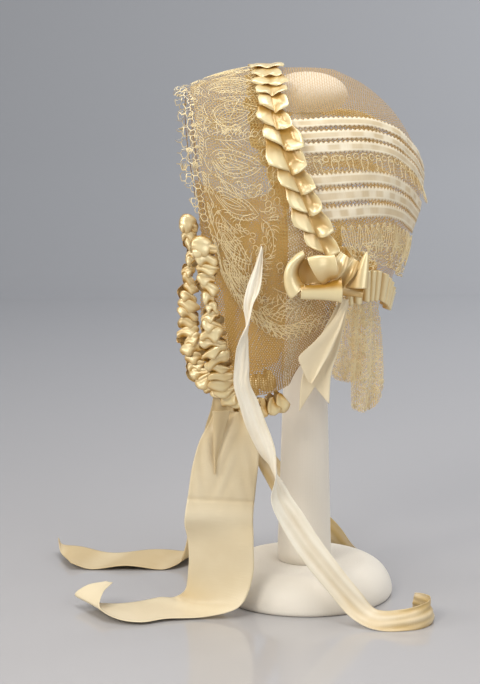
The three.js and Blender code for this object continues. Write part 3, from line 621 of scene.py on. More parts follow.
def looseLines(patch, ferns, rings, threads):
    # ferns, pairs of rings and single wandering threads scattered over a patch
    lines = []
    spot = rng.uniform(0, 1, (ferns + rings + threads, 4))
    spot[:, 0] *= patch.length
    spot[:, 1] *= patch.depthAt(spot[:, 0])
    for x, y, a, b in spot[:ferns]:
        lines += fernLines((x, y), 2 * math.pi * a, 12 + 12 * b, 2.4 * (b - 0.5), 4)
    for x, y, a, b in spot[ferns:ferns + rings]:
        lines += [ringLine((x, y), 1.5 + 1.3 * a, 7), ringLine((x + 3.8, y + 2 * b), 1.4 + b, 7)]
    for x, y, a, b in spot[ferns + rings:]:
        heading = 2 * math.pi * a + np.cumsum(rng.normal(0, 0.35, 14))
        step = np.stack([np.cos(heading), np.sin(heading)], axis=1) * (0.8 + b)
        lines.append(np.array([x, y]) + np.cumsum(step, axis=0))
    return lines


def wobbled(lines, size):
    # bends every line with slow waves of the given size so that no repeat looks the same
    bent = []
    for line in lines:
        s, t = line.T
        shift = [np.sin(0.21 * s + 0.17 * t) + np.sin(0.063 * s), np.cos(0.19 * s - 0.23 * t)]
        bent.append(line + size * np.stack(shift, axis=1))
    return bent


def tiled(make, length, width, count):
    # repeats a unit along s so that a whole number of them fills the length
    lines = []
    stretch = [length / count / width, 1]
    for k in range(count):
        shift = length / count * k
        lines += [line * stretch + [shift, 0] for line in make(width, 1 if k % 2 else -1)]
    return lines


# lace over the brim
laceShape = {"depth": 76, "side": 4.75, "rear": 1.45, "rearShare": 0.98, "power": 0.75, "sweep": 2.26,
             "lift": 2.0, "pitch": 2.6, "thread": 0.365, "motif": 0.52, "repeat": 37, "wobble": 0.8,
             "ferns": 26, "rings": 70, "threads": 40}
laceShares = np.linspace(0.01, laceShape["rearShare"], 44)


def laceEndAt(share):
    # station of the lower edge: it falls from the front to the middle of the cheek and rises a little behind
    return laceShape["side"] + laceShape["rear"] * np.sin(laceShape["sweep"] * share ** laceShape["power"])


laceEnd = laceEndAt(laceShares)
laceStations = laceEnd[None] * np.linspace(-1, 1, 300)[:, None]
lacePatch = Patch(brimPoint(laceStations, np.broadcast_to(laceShares[None], laceStations.shape)))
laceGround = netPiece("brim_lace_ground", lacePatch, laceShape["pitch"], laceShape["thread"], groundNet,
                      laceShape["lift"], turn=0.26)
ride(laceGround, "brim_lace", slot="blonde_lace")
units = round(lacePatch.length / laceShape["repeat"])
laceLines = wobbled(tiled(sprayUnit, lacePatch.length, laceShape["repeat"], units), laceShape["wobble"])
laceLines += looseLines(lacePatch, laceShape["ferns"], laceShape["rings"], laceShape["threads"])

# ferns on the cheeks where the picture shows them: station and share of the foot and of the tip
cheekFerns = [[5.01, 0.07, 4.79, 0.59], [5.8, 0.41, 5.6, 0.84], [5.55, 0.19, 5.27, 0.47],
              [5.34, 0.25, 4.95, 0.57], [4.4, 0.04, 4.5, 0.38], [5.95, 0.42, 5.75, 0.75],
              [5.2, 0.6, 5.1, 0.95], [5.7, 0.3, 5.45, 0.7]]


def lacePlace(at, share):
    # where a station and share of the brim lie on the unrolled lace, in millimetres
    s = np.interp(at / laceEndAt(share), np.linspace(-1, 1, len(lacePatch.run)), lacePatch.run)
    across = (share - laceShares[0]) / (laceShares[-1] - laceShares[0])
    return np.array([s, across * float(lacePatch.depthAt(s))])


for hand in (1, -1):
    for footAt, footShare, tipAt, tipShare in cheekFerns:
        foot, tip = lacePlace(hand * footAt, footShare), lacePlace(hand * tipAt, tipShare)
        away = tip - foot
        lean = math.atan2(away[1], away[0]) - 0.25 * hand
        laceLines += fernLines(foot, lean, np.hypot(*away), 0.5 * hand, 9)
# two rows of rings along both lower edges
for end in (0, lacePatch.length):
    away = 1 if end == 0 else -1
    for k, radius in ((2.8, 2.6), (8.2, 2.4)):
        rows = np.arange(3 + k / 2, float(lacePatch.depthAt(end)) - 2, 5.4)
        laceLines += [ringLine((end + away * k, t), radius, 9) for t in rows]
laceMotif = threadPiece("brim_lace_motif", lacePatch, laceLines, laceShape["motif"], laceThread,
                        laceShape["lift"] + motifLift)
ride(laceMotif, slot="blonde_lace")

# looped border in front of the wire
borderShape = {"last": 4.6, "reach": 17, "full": 3.5, "pitch": 5.0, "thread": 0.5, "ripple": 2.6,
               "waves": 31, "lift": 2.0, "rosettes": 40, "rosetteThread": 0.6}
borderStations = np.linspace(-borderShape["last"], borderShape["last"], 320)
borderShares = np.linspace(-borderShape["reach"] / laceShape["depth"], 0.03, 18)
borderPoints = brimPoint(borderStations[:, None], borderShares[None])
loose = np.clip(-borderShares * laceShape["depth"] / borderShape["reach"], 0, 1)
ripple = np.sin(np.linspace(0, 2 * math.pi * borderShape["waves"], 320))[:, None] * loose[None]
borderPatch = Patch(borderPoints + gridNormals(borderPoints) * (borderShape["ripple"] * ripple)[..., None])


def borderKeep(s, t):
    # the outer edge runs in and out, and draws back to the wire towards the cheeks
    at = np.interp(s, borderPatch.run, borderStations)
    reach = borderShape["reach"] * (1 - smoothStep(np.abs(at), borderShape["full"], borderShape["last"]))
    return t > borderShape["reach"] - reach * (0.76 + 0.24 * np.sin(0.45 * s) * np.sin(0.13 * s + 1))


border = netPiece("brim_lace_border", borderPatch, borderShape["pitch"], borderShape["thread"], laceThread,
                  borderShape["lift"], keep=borderKeep, turn=0.1)
ride(border, slot="blonde_lace")
rosettes = []
for x, y in rng.uniform(0, 1, (borderShape["rosettes"], 2)) * [borderPatch.length, borderShape["reach"]]:
    if borderKeep(np.array(x), np.array(y - 2)):
        rosettes += [ringLine((x, y), radius, 8) for radius in (0.6, 1.3, 2.0)]
rosette = threadPiece("brim_lace_rosettes", borderPatch, rosettes, borderShape["rosetteThread"], laceThread,
                      borderShape["lift"] + motifLift)
ride(rosette, slot="blonde_lace")
netSheet(laceGround, lacePatch)
print("brim lace made")

# ribbons, lace insert and frill round the crown
ribbonRows = [(2.28, 0.088), (2.59, 0.08), (2.86, 0.085), (3.44, 0.08), (3.71, 0.085), (4.0, 0.09)]
ribbonShape = {"start": 0.06, "lift": 2.3, "picot": 0.55, "wall": 0.3, "along": 361, "across": 9,
               "blocks": 40}


def crownStrip(low, high, start, along, across):
    # a strip round the crown from seam to seam between two stations, lower edge first
    angle = np.linspace(start, math.pi - start, along)[:, None]
    share = np.linspace(0, 1, across)[None]
    return crownPoint(high + (low - high) * share, angle), angle, share


for number, (at, half) in enumerate(ribbonRows, 1):
    r = ribbonShape
    angle = np.linspace(r["start"], math.pi - r["start"], r["along"])[:, None]
    v = np.linspace(-1, 1, r["across"])[None]
    teeth = np.abs((np.arange(r["along"]) / 2) % 2 - 1)[:, None] * r["picot"] * (np.abs(v) > 0.99)
    points = crownPoint(at - half * v * (1 + teeth), np.broadcast_to(angle, (r["along"], r["across"])))
    wave = 0.5 * np.sin(angle * 21 + number) * (1 - 0.4 * v * v)
    points = points + gridNormals(points) * (r["lift"] + wave)[..., None]
    # bright woven stripes beside both edges, and in the sheer middle woven checks whose light and dark, of
    # changing strength, is painted sheen
    stripes = np.exp(-((np.abs(v) - 0.76) / 0.13) ** 2)
    phase = r["blocks"] * angle + 2 * np.sin(3 * angle + number) + 1.7 * number
    strength = 0.55 + 0.45 * np.sin(5.3 * angle + 2.1 * number)
    blocks = smoothStep(np.sin(phase), -0.5, 0.5) * strength * (1 - smoothStep(np.abs(v), 0.5, 0.75))
    paintedLightAndWeave = np.clip(0.5 + 0.5 * stripes + 0.42 * blocks, 0, 1)
    ribbon = gridPiece(f"crown_ribbon_{number}", [(points, paintedLightAndWeave)], gauze)
    thickenPiece(ribbon, r["wall"])
    ride(ribbon, f"crown_ribbon_{number}", slot="satin_ribbon")

insertShape = {"low": 2.97, "high": 3.35, "lift": 2.2, "flare": 5.0, "pitch": 1.8, "thread": 0.3,
               "loop": 12.2, "motif": 0.7}
points, angle, share = crownStrip(insertShape["low"], insertShape["high"], 0.06, 300, 14)
points = points + gridNormals(points) * (insertShape["flare"] * (1 - share) * np.sin(angle) ** 3)[..., None]
insertPatch = Patch(points)
insert = netPiece("crown_lace_insert", insertPatch, insertShape["pitch"], insertShape["thread"], groundNet,
                  insertShape["lift"])
ride(insert, "crown_lace_insert", slot="blonde_lace")
depth = float(insertPatch.depth.mean())
starts = np.arange(3, insertPatch.length - 6, insertShape["loop"])
# each loop is an upturned U with its feet turned out
loopShape = np.array([[-3.6, 0.6], [-2.3, 1.4], [-1.8, 3.4], [-2.6, 6.8], [-2.4, 9.2], [-1.2, 10.6]])
loopShape = np.concatenate([loopShape, loopShape[::-1] * [-1, 1]])
insertLines = [loopShape + [c, 0] for c in starts]
centres = np.arange(3, insertPatch.length, insertShape["loop"] / 2)
insertLines += [ringLine((c, depth - 3), 2.2, 7) for c in centres]
insertLines = wobbled(insertLines, 0.5) + looseLines(insertPatch, 0, 6, 10)
insertMotif = threadPiece("crown_lace_insert_motif", insertPatch, insertLines, insertShape["motif"],
                          laceThread, insertShape["lift"] + motifLift)
ride(insertMotif, slot="blonde_lace")
netSheet(insert, insertPatch)

frillShape = {"low": 4.2, "high": 4.98, "start": 0.22, "lift": 2.4, "flare": 5.0, "waves": 9, "pitch": 2.4,
              "thread": 0.36, "motif": 0.64, "repeat": 11}
points, angle, share = crownStrip(frillShape["low"], frillShape["high"], frillShape["start"], 360, 20)
wave = 0.5 + 0.5 * np.cos(2 * math.pi * frillShape["waves"] * (angle - frillShape["start"])
                          / (math.pi - 2 * frillShape["start"]))
points = points + gridNormals(points) * (frillShape["flare"] * (1 - share) * wave)[..., None]
frillPatch = Patch(points)
frill = netPiece("crown_lace_frill", frillPatch, frillShape["pitch"], frillShape["thread"], groundNet,
                 frillShape["lift"])
ride(frill, "crown_lace_frill", slot="blonde_lace")


def frillUnit(width, flip):
    # one repeat: long loops hanging side by side, with a small ring in each and a scallop below
    deep = float(frillPatch.depth.mean())
    lines = []
    for k in range(2):
        x = width * (0.25 + 0.5 * k)
        lines += leafLines((x, deep * 0.98), (x, deep * 0.3), width * 0.17, 0)[:2]
        lines.append(ringLine((x, deep * 0.2), 1.7, 8))
        lines.append(ringLine((x + width * 0.25, deep * 0.5), 1.3, 7))
    return lines


units = round(frillPatch.length / frillShape["repeat"])
frillLines = tiled(frillUnit, frillPatch.length, frillShape["repeat"], units)
frillLines = wobbled(frillLines, 0.8) + scallopLines(frillPatch.length, 6, 2.2, 1, 3)
frillLines += looseLines(frillPatch, 8, 40, 30)
frillMotif = threadPiece("crown_lace_frill_motif", frillPatch, frillLines, frillShape["motif"], laceThread,
                         frillShape["lift"] + motifLift)
ride(frillMotif, slot="blonde_lace")
netSheet(frill, frillPatch)
print("crown trims made")


# ruching: rows of stitched loops, each overhanging the next one below it
def loopGrid(shape):
    # one loop in its own frame: a runs down the row, b across it and h away from it; from a narrow stitched
    # start it widens to a lip that points down at the middle and turns under; each half bulges or, where
    # hollow, is a cup
    u = np.linspace(0, 1, shape["along"])[:, None]
    v = np.linspace(-1, 1, shape["across"])[None]
    side = np.abs(v)
    hollow = np.where(v < 0, shape["hollowLeft"], shape["hollowRight"])
    edge = 1.25 - shape["point"] * side + 0.06 * np.sin(math.pi * side) + shape["skew"] * v
    lip = shape["length"] * edge
    start = -0.4 * shape["length"]
    roll = np.sin(math.pi * (0.03 + 0.62 * u ** 1.8)) ** 0.6 - 0.55 * smoothStep(u, 0.74, 1) ** 1.5
    bulge = roll * (0.45 + 0.55 * smoothStep(side, 0, 0.5) - 0.3 * smoothStep(side, 0.75, 1))
    rim = np.maximum(smoothStep(u, 0.55, 0.95), 0.9 * smoothStep(side, 0.55, 1) * smoothStep(u, 0, 0.5))
    cup = rim * smoothStep(side, 0, 0.3)
    form = (1 - hollow) * bulge + hollow * cup
    ripple = shape["ripple"] * np.sin(6 * v + 5 * u + shape["turn"]) * u
    h = shape["lift"] + 2.0 * u + shape["height"] * form + ripple
    a = start + (lip - start) * u ** 0.85 - 0.2 * shape["length"] * smoothStep(u, 0.8, 1) * (1 - hollow)
    spread = 0.72 + 0.28 * smoothStep(u, 0, 0.6) - 0.04 * smoothStep(u, 0.8, 1)
    b = v * shape["half"] * spread + shape["offset"]
    # painted shade at the stitched start, inside the cups and down the middle, painted light on the bulges
    # and the rims
    tone = (1 - hollow) * (0.1 + 0.9 * smoothStep(u, 0.1, 0.6)) + hollow * (0.05 + 0.95 * cup)
    paintedLightAndWeave = tone * (0.75 + 0.25 * smoothStep(side, 0, 0.25))
    return a, b, h, paintedLightAndWeave


def laidLoop(base, place, form, face=1):
    # lays a loop or puff on a surface given by run and reach in millimetres, standing along its normal
    a, b, h, paintedLightAndWeave = form
    run = place + a
    down = base(run + 0.5, b) - base(run - 0.5, b)
    across = base(run, b + 0.5) - base(run, b - 0.5)
    return base(run, b) + face * unit(np.cross(down, across)) * h[..., None], paintedLightAndWeave


# ruched band: how far down the seam each lip lies from the top centre, and what the loops have in common
bandLips = [15, 29, 42, 55, 70, 83, 98, 116, 131.5, 148, 164, 179]
bandShape = {"along": 20, "across": 25, "half": 12.8, "lift": 2.0, "height": 4.8, "point": 0.36,
             "ripple": 0.3, "flatHeight": 1.8, "last": 4.95, "reach": 1.15}
bandStations = np.linspace(0, bandShape["last"], 400)
bandSeam = brimPoint(bandStations, np.ones(400))
bandRun = runAlong(bandSeam)


def bandBase(run, reach):
    # the strip over the seam: on the brim where reach is below 0, on the crown above
    at = np.sign(run) * np.interp(np.abs(run), bandRun, bandStations)
    seam, frontEdge = brimPoint(at, np.ones_like(at)), brimPoint(at, np.zeros_like(at))
    depth = np.linalg.norm(seam - frontEdge, axis=-1)
    back = smoothTable(crownRows, np.abs(at))[..., 0] - seam[..., 1]
    onBrim = brimPoint(at, 1 + np.minimum(reach, 0) / depth)
    onCrown = crownPoint(np.abs(at), np.maximum(reach, 0) / back)
    onCrown = onCrown * np.where(at < 0, -1, 1)[..., None] ** np.array([1, 0, 0])
    return np.where((reach < 0)[..., None], onBrim, onCrown)


def handed(points, hand):
    return points * [hand, 1, 1]


# the loops are flat at the top of the head, grow full down the sides, and differ in width, slant and hollows
grids = []
for number, lip in enumerate(bandLips):
    length = lip - (bandLips[number - 1] if number else 0)
    full = smoothStep(float(lip), 25, 80)
    shape = {**bandShape, "length": length, "turn": 1.9 * number,
             "height": bandShape["flatHeight"] + (bandShape["height"] - bandShape["flatHeight"]) * full,
             "point": bandShape["point"] * (0.3 + 0.7 * full),
             "half": bandShape["half"] + rng.uniform(-2, 1.6), "skew": rng.uniform(-0.2, 0.28) * full,
             "offset": rng.uniform(-1.8, 1.8), "ripple": bandShape["ripple"] * rng.uniform(0.3, 4),
             "hollowLeft": 0.3 * rng.uniform(0, 1) ** 2,
             "hollowRight": (0.2 + 0.7 * full) * rng.uniform(0.75, 1.0)}
    loop, paintedLightAndWeave = laidLoop(bandBase, lip - bandShape["reach"] * length, loopGrid(shape))
    grids += [(handed(loop, hand), paintedLightAndWeave) for hand in (1, -1)]
band = gridPiece("ruched_band", grids, satin)
thickenPiece(band, ribbonWalls["ruched"])
ride(band, "ruched_band", slot="satin_ribbon")

# nape ribbon: upright rounded pleats that overhang a little
napeShape = {"low": 5.04, "high": 5.6, "start": 0.15, "pleats": 22, "overlap": 1.1, "lift": 1.6, "rise": 5.6,
             "uneven": 1.3, "dip": 0.28}
u = np.linspace(0, 1, napeShape["pleats"] * 18)[:, None]
v = np.linspace(-1, 1, 17)[None]
phase = 2 * math.pi * napeShape["pleats"] * u + napeShape["uneven"] * np.sin(41 * u) + 0.5 * v
fold = 0.5 - 0.5 * np.cos(phase)
shifted = np.clip(u - napeShape["overlap"] * np.sin(phase) / (2 * math.pi * napeShape["pleats"]), 0, 1)
angle = napeShape["start"] + (math.pi - 2 * napeShape["start"]) * shifted
low = napeShape["low"] + napeShape["dip"] * np.sin(angle) ** 4
flat = crownPoint(low + (napeShape["high"] - low) * (1 - v) / 2, angle + 0 * v)
points = flat + unit(flat * [1, 1, 0]) * (napeShape["lift"] + napeShape["rise"] * fold)[..., None]
points[..., 2] -= 2.0 * fold * smoothStep(v, 0.6, -1.0)
# painted shade in the valleys between the pleats, painted highlight on their ridges
nape = gridPiece("nape_ribbon", [(points, 0.05 + 0.95 * fold ** 1.5)], satin)
thickenPiece(nape, ribbonWalls["pleated"])
ride(nape, "nape_ribbon", slot="satin_ribbon")


def puffGrid(shape):
    # one puff in its own frame: an arch lying across the row from its upper stitch line to an open lip that
    # overhangs the next one, fuller on one side, leaning, fluted more and more towards the lip, with a groove
    # below its crest
    turn = math.pi * np.linspace(-0.05, 0.8, shape["along"])[:, None]
    v = np.linspace(-1, 1, shape["across"])[None]
    w = v + shape["lean"] * (1 - v * v)
    full = (1 - 0.75 * np.abs(w) ** 2.4) ** 0.6
    groove = shape["groove"] * np.exp(-((turn - 1.3 - 0.5 * v) / 0.28) ** 2)
    flute = np.sin(shape["flutes"] * v + shape["turn"]) * smoothStep(turn, 0.6, 2.4)
    a = 0.5 * shape["length"] * full * (0.25 * flute - np.cos(turn)) + shape["skew"] * shape["half"] * v
    arch = np.maximum(np.sin(turn), -0.3) * (1 - groove) + 0.28 * flute + 0.12
    h = shape["lift"] + shape["height"] * full * arch
    b = shape["half"] * v * (0.86 + 0.14 * np.sin(turn)) + shape["offset"]
    # painted light over the arch, painted shade at its stitch line, where its lip turns under, in the groove
    # and in the flutes' valleys, lighter on the flutes' ridges
    lit = smoothStep(turn, 0.0, 0.9) * (1 - 0.75 * smoothStep(turn, 1.5, 2.3))
    paintedLightAndWeave = full * lit * (1 - 0.9 * groove) + 0.35 * np.maximum(flute, 0) - 0.3 * np.maximum(-flute, 0)
    return a, b, h, np.clip(paintedLightAndWeave, 0.0, 1)


# cheek ruches: station and share from front to rear edge along the route
cheekRoute = np.array([[4.32, -0.12], [5, -0.12], [6, -0.12], [7, -0.19], [7.8, -0.34], [8.55, 0.02],
                       [8.55, 0.5], [8.55, 0.95]])
cheekShape = {"along": 15, "across": 17, "lift": 0.5, "pitch": 7.0, "firstAt": 7.5}
# how the puffs differ, and what sets the large first one apart
cheekRanges = {"length": (8.6, 12.0), "share": (0.85, 1.2), "height": (3.2, 5.2), "skew": (0.0, 0.5),
               "groove": (0.1, 0.5), "lean": (0.05, 0.42), "turn": (0, 6), "flutes": (2.5, 5.5),
               "offset": (-1.8, 1.8)}
cheekFirst = {"length": 15, "groove": 0.2, "height": 4.6, "skew": 0, "lean": 0.2, "flutes": 2.4, "offset": 0}
# half the width of each ruche down its route, in millimetres: the picture shows both, and they differ
cheekHalves = {1: [[0, 7.5], [20, 8.5], [40, 7.5], [48, 4.5], [58, 4.5], [66, 8], [100, 9.5], [170, 8]],
               -1: [[0, 7], [13, 7], [20, 4.5], [52, 4.8], [62, 7], [80, 8.5], [170, 7.5]]}


def cheekPoint(at, share, hand):
    return handed(brimPoint(hand * at, share), hand)


def routeTable(rows):
    return np.concatenate([np.linspace(0, 1, len(rows))[:, None], rows], axis=1)


for hand, word in hands:
    dense = np.linspace(0, 1, 900)
    place = smoothTable(routeTable(cheekRoute), dense)

    def depthOf(which):
        return np.linalg.norm(cheekPoint(place[:, 0], np.ones(900), which)
                              - cheekPoint(place[:, 0], np.zeros(900), which), axis=1)
    share = np.where(place[:, 1] < 0, place[:, 1] * depthOf(1) / depthOf(hand), place[:, 1])
    line = cheekPoint(place[:, 0], share, hand)
    run = runAlong(line)
    sides = unit(np.cross([1, 0, 0], np.gradient(line, axis=0)))

    def cheekBase(at, reach):
        # the flat strip: a point of the route, moved sideways along the cheek
        point = np.stack([np.interp(at, run, line[:, k]) for k in range(3)], axis=-1)
        side = np.stack([np.interp(at, run, sides[:, k]) for k in range(3)], axis=-1)
        return point + side * reach[..., None]
    grids = []
    count = int(run[-1] / cheekShape["pitch"])
    for number in range(count):
        at = (number + 0.5) * run[-1] / count
        half = np.interp(at, *np.transpose(cheekHalves[hand]))
        for face in (1, -1):
            drawn = dict(zip(cheekRanges, rng.uniform(*zip(*cheekRanges.values()))))
            way = rng.choice([-1, 1], p=[0.3, 0.7])
            shape = {**cheekShape, **drawn, "half": half * drawn["share"], "skew": way * drawn["skew"],
                     "lean": way * drawn["lean"]}
            if number == 0:
                shape.update(cheekFirst, half=half)
                at = cheekShape["firstAt"]
            loop, paintedLightAndWeave = laidLoop(cheekBase, at, puffGrid(shape), face)
            grids.append((handed(loop, hand), paintedLightAndWeave))
    ruche = gridPiece(f"cheek_ruche_{word}", grids, satin)
    thickenPiece(ruche, ribbonWalls["ruched"])
    ride(ruche, f"cheek_ruche_{word}", slot="satin_ribbon")
print("ruches made")

# bound wire along the front edge, and the bound rear edge below the bow
wireShape = {"last": 4.05, "radius": 0.32, "along": 240, "around": 8, "lift": 0.4, "forward": 1.2,
             "rearFrom": 5.7, "rearTo": 7.9, "rearShare": 0.98}


def tubeGrid(line, normal, across, radius):
    # a round section swept along a line, closed to a point at both ends
    angle = np.linspace(0, 2 * math.pi, wireShape["around"], endpoint=False)[None, :, None]
    size = np.full((len(line), 1, 1), radius)
    size[[0, -1]] = 0.05
    return line[:, None] + size * (np.cos(angle) * across[:, None] + np.sin(angle) * normal[:, None])


def edgeTube(low, high, share):
    stations = np.linspace(low, high, wireShape["along"])
    grid = brimPoint(stations[:, None], np.array([share, share + 0.02])[None])
    normal = gridNormals(grid)[:, 0]
    line = grid[:, 0] + normal * wireShape["lift"] - [0, wireShape["forward"] * (share < 0.5), 0]
    return tubeGrid(line, normal, unit(grid[:, 1] - grid[:, 0]), wireShape["radius"])


tubes = [edgeTube(-wireShape["last"], wireShape["last"], 0.0),
         edgeTube(wireShape["rearFrom"], wireShape["rearTo"], wireShape["rearShare"]),
         edgeTube(-wireShape["rearTo"], -wireShape["rearFrom"], wireShape["rearShare"])]
wire = gridPiece("bound_wire", [(tube, 0.5) for tube in tubes], boundThread, closeV=True)
ride(wire, "brim_wire", slot="bound_wire")

# stays inside the cheeks
stayRoute = np.array([[3.9, 0.86], [5, 0.68], [6, 0.63], [7, 0.8], [7.6, 0.88]])
stayShape = {"width": 9, "lift": 0.1, "pitch": 2.2, "thread": 0.7}
for hand, word in hands:
    place = smoothTable(routeTable(stayRoute), np.linspace(0, 1, 90))
    across = np.linspace(-0.5, 0.5, 9)[None] * stayShape["width"] / laceShape["depth"]
    points = cheekPoint(np.repeat(place[:, :1], 9, 1), place[:, 1:] + across, hand)
    points = points + gridNormals(points) * stayShape["lift"]
    points = handed(points, hand)
    patch = Patch(points if hand > 0 else points[::-1])
    stay = netPiece(f"stay_{word}", patch, stayShape["pitch"], stayShape["thread"], stiffNet)
    ride(stay, f"stay_{word}", slot="stiff_net")
    netSheet(stay, patch)


# free ribbons: middle line, width and direction of the width in each row
def freeRibbon(rows, along, across, shape=None, cut=0.0, notch=0.0):
    # the strip of the table, cut aslant or notched at its end, then a shape given as height over the strip
    rows = np.asarray(rows, float)
    u = np.linspace(0, 1, along)[:, None]
    v = np.linspace(-1, 1, across)[None]
    at = u * (1 - cut * (0.5 - 0.5 * v) - notch * (1 - np.abs(v)))
    table = smoothTable(routeTable(rows), at)
    points = table[..., :3] + unit(table[..., 4:7]) * (table[..., 3] * v / 2)[..., None]
    rise = np.zeros((along, across)) if shape is None else shape(at, v)
    return points + gridNormals(points) * rise[..., None], rise


def ribbonPiece(name, rows, node, material, slot, shape=None, along=90, across=21, hand=1,
                paintedLightBase=0.65, paintedLightGain=0.14, topShade=0.0, endShade=0.0, cut=0.0, notch=0.0, extra=()):
    # its tone is painted light over the whole ribbon, more where its shape rises; topShade paints shade where
    # the ribbon is gathered into its seam, endShade towards its free end
    points, rise = freeRibbon(rows, along, across, shape, cut, notch)
    down = np.linspace(0, 1, along)[:, None]
    shade = topShade * np.exp(-down / 0.12) + endShade * smoothStep(down, 0.55, 0.85)
    paintedLightAndWeave = np.clip(paintedLightBase + paintedLightGain * rise - shade, 0, 1)
    points = handed(points, hand)
    piece = gridPiece(name, [(points, paintedLightAndWeave), *extra], material, flip=hand < 0)
    thickenPiece(piece, ribbonWalls["free"])
    ride(piece, node, slot=slot)
    return piece


# bow, on the left side: the near one is copied from the picture and the far one mirrors it
bowTailLeaf = [[79, 20.8, 246, 5, 0, 1, 0], [79, 19.3, 240, 5.5, 0, 1, 0], [79, 16.4, 233, 7, 0, 1, 0.1],
               [79, 11.6, 224, 12, 0, 1, 0.15], [79, 6.1, 216, 17, 0, 1, 0.2],
               [78.5, -1.2, 206, 24, 0, 1, 0.2], [78, -2.4, 198, 18, 0, 1, 0.25],
               [78, -3.4, 190, 10, 0, 1, 0.3], [78, -4.2, 183, 1.5, 0, 1, 0.3]]
bowTailNotched = [[76, 20, 243, 8, 0, 1, 0], [75, 14, 226, 13, 0, 1, 0], [74, 7, 207, 19, 0, 1, 0],
                  [73.5, 0.5, 188, 22, 0, 1, 0.15], [73, -1, 164, 23, 0, 1, 0.25]]
bowTab = [[82, 1, 273, 15, 0, 1, 0.05], [88, 1, 279, 19, 0, 1, 0.06], [93, 1.2, 279.5, 20, 0, 1, 0.07],
          [95, 2.4, 275, 20, 0, 1, 0.07], [95, 4, 270, 18.5, 0, 1, 0.05], [92.5, 6.4, 264.5, 15, 0, 1, 0.3],
          [87, 8.6, 261, 12, 0, 1, 0.5]]
# front loop: Y and Z of its outer edge and of the line where it turns into the bow
bowShell = [[-11.2, 283.4, -9.7, 276.6], [-16.9, 279.8, -11.8, 274], [-22.6, 273.1, -13.4, 270.4],
            [-25, 264.2, -13.9, 266.2], [-23.6, 254.2, -12.8, 262.5], [-19.7, 248.2, -11.2, 259.8],
            [-14.7, 252.6, -10.2, 258.4], [-10.1, 257.8, -9.3, 257.7]]
shellShape = {"edgeX": 85, "innerX": 82, "bulge": 4.0, "floorX": 80.5, "floorTo": 5.0}
rollShape = {"from": -13, "to": 17, "x": 86, "z": 252.6, "radius": 5.4}
# upright fold behind the tab: foot, tip, radius of the foot, and how blunt the tip is
bowFold = {"foot": [81, 30, 255], "tip": [81, 36, 281], "radius": 7.5, "blunt": 0.8}
# strips between the tab and the fold, with their painted tone: two lighter ones that rise to the rear and a
# shaded one below
bowStrips = [
    ([[82, 8, 261, 9, 0.3, 0.7, -0.6], [85, 11, 266.2, 11, 0.3, 0.7, -0.6],
      [86, 16, 273, 11, 0.2, 0.7, -0.6], [84, 20.4, 279, 9, 0, 0.7, -0.6]], 0.8),
    ([[80, 13, 256, 10, 0.3, 0.7, -0.6], [83, 17, 261, 11, 0.3, 0.7, -0.6],
      [84, 23, 268, 10, 0.2, 0.7, -0.6], [81, 28.6, 275, 7, 0, 0.7, -0.6]], 0.5),
    ([[84, 14, 255.5, 11, 0, 0.1, 1], [80, 20, 254.8, 12, 0, 0.1, 1],
      [79.5, 28, 253.8, 12, 0, 0.1, 1], [82, 34, 253, 11, 0, 0.1, 1]], 0.15)]


def shellLoop(f):
    # the front loop seen from outside: a wall bulging between its outer edge and the line where it turns in,
    # and the shaded floor that runs from that line to behind the tab
    u = np.linspace(0, 1, 80)[:, None]
    v = np.linspace(0, 1, 30)[None]
    edges = smoothTable(routeTable(np.array(bowShell)), u + 0 * v)
    flat = edges[..., :2] + (edges[..., 2:] - edges[..., :2]) * v[..., None]
    out = (f["edgeX"] + (f["innerX"] - f["edgeX"]) * v ** 2 + f["bulge"] * np.sin(math.pi * v ** 0.8)
           + 0.5 * np.sin(9 * u + 2 * v))
    wall = np.concatenate([(out + 0 * u)[..., None], flat], axis=-1)
    inner = edges[..., 2:]
    back = np.stack([f["floorTo"] + 0 * v * u, inner[..., 1]], axis=-1)
    ground = (f["innerX"] + (f["floorX"] - f["innerX"]) * np.sin(math.pi * v) ** 0.5
              + 0.8 * np.sin(6 * v + 4 * u))
    floor = np.concatenate([(ground + 0 * u)[..., None], inner + (back - inner) * v[..., None]], axis=-1)
    # painted light on the wall, fading to painted shade where it turns in; the floor is painted shade
    return [(wall, np.clip(1.02 - 0.95 * smoothStep(v, 0.5, 1) + 0.1 * np.sin(9 * u), 0, 1)),
            (floor, 0.12 + 0.25 * v + 0 * u)]


def rollGrid(r):
    # a ribbon rolled along Y, open at the top and wider towards its open end
    y = np.linspace(r["from"], r["to"], 60)[:, None]
    a = np.linspace(-3.0, 1.9, 44)[None]
    share = (y - r["from"]) / (r["to"] - r["from"])
    radius = r["radius"] * (0.92 + 0.45 * share ** 2)
    lift = 3.2 * smoothStep(share, 0.55, 1) * smoothStep(a, 0.4, 1.9)
    points = np.stack([r["x"] + radius * np.cos(a), y + 0 * a, r["z"] + radius * np.sin(a) + lift], axis=-1)
    # painted shade over the upper front and the open top of the roll, painted light on its front and
    # underside
    return points, np.clip(1 - 0.95 * smoothStep(a, 0.1, 0.9) + 0 * y, 0.05, 1)


def foldGrid(fold):
    # an upright fold: the front half of a cone from a wide foot to a pointed tip, pressed in on one side
    foot, tip = np.array(fold["foot"], float), np.array(fold["tip"], float)
    h = np.linspace(0, 1, 40)[:, None]
    a = np.linspace(-0.35, math.pi + 0.35, 36)[None]
    size = fold["radius"] * (1 - h) ** fold["blunt"] + 0.4
    press = 1 + 0.1 * np.cos(3 * a + 0.6) * (1 - h)
    out = np.stack([0.75 * np.sin(a) * press, -np.cos(a) * press, 0 * press], axis=-1)
    points = foot + (tip - foot) * h[..., None] + size[..., None] * out
    # painted light on its bulges and towards the tip, painted shade in the dents between them
    return points, np.clip(0.6 + 0.3 * np.cos(3 * a + 0.6) + 0.25 * h, 0, 1)


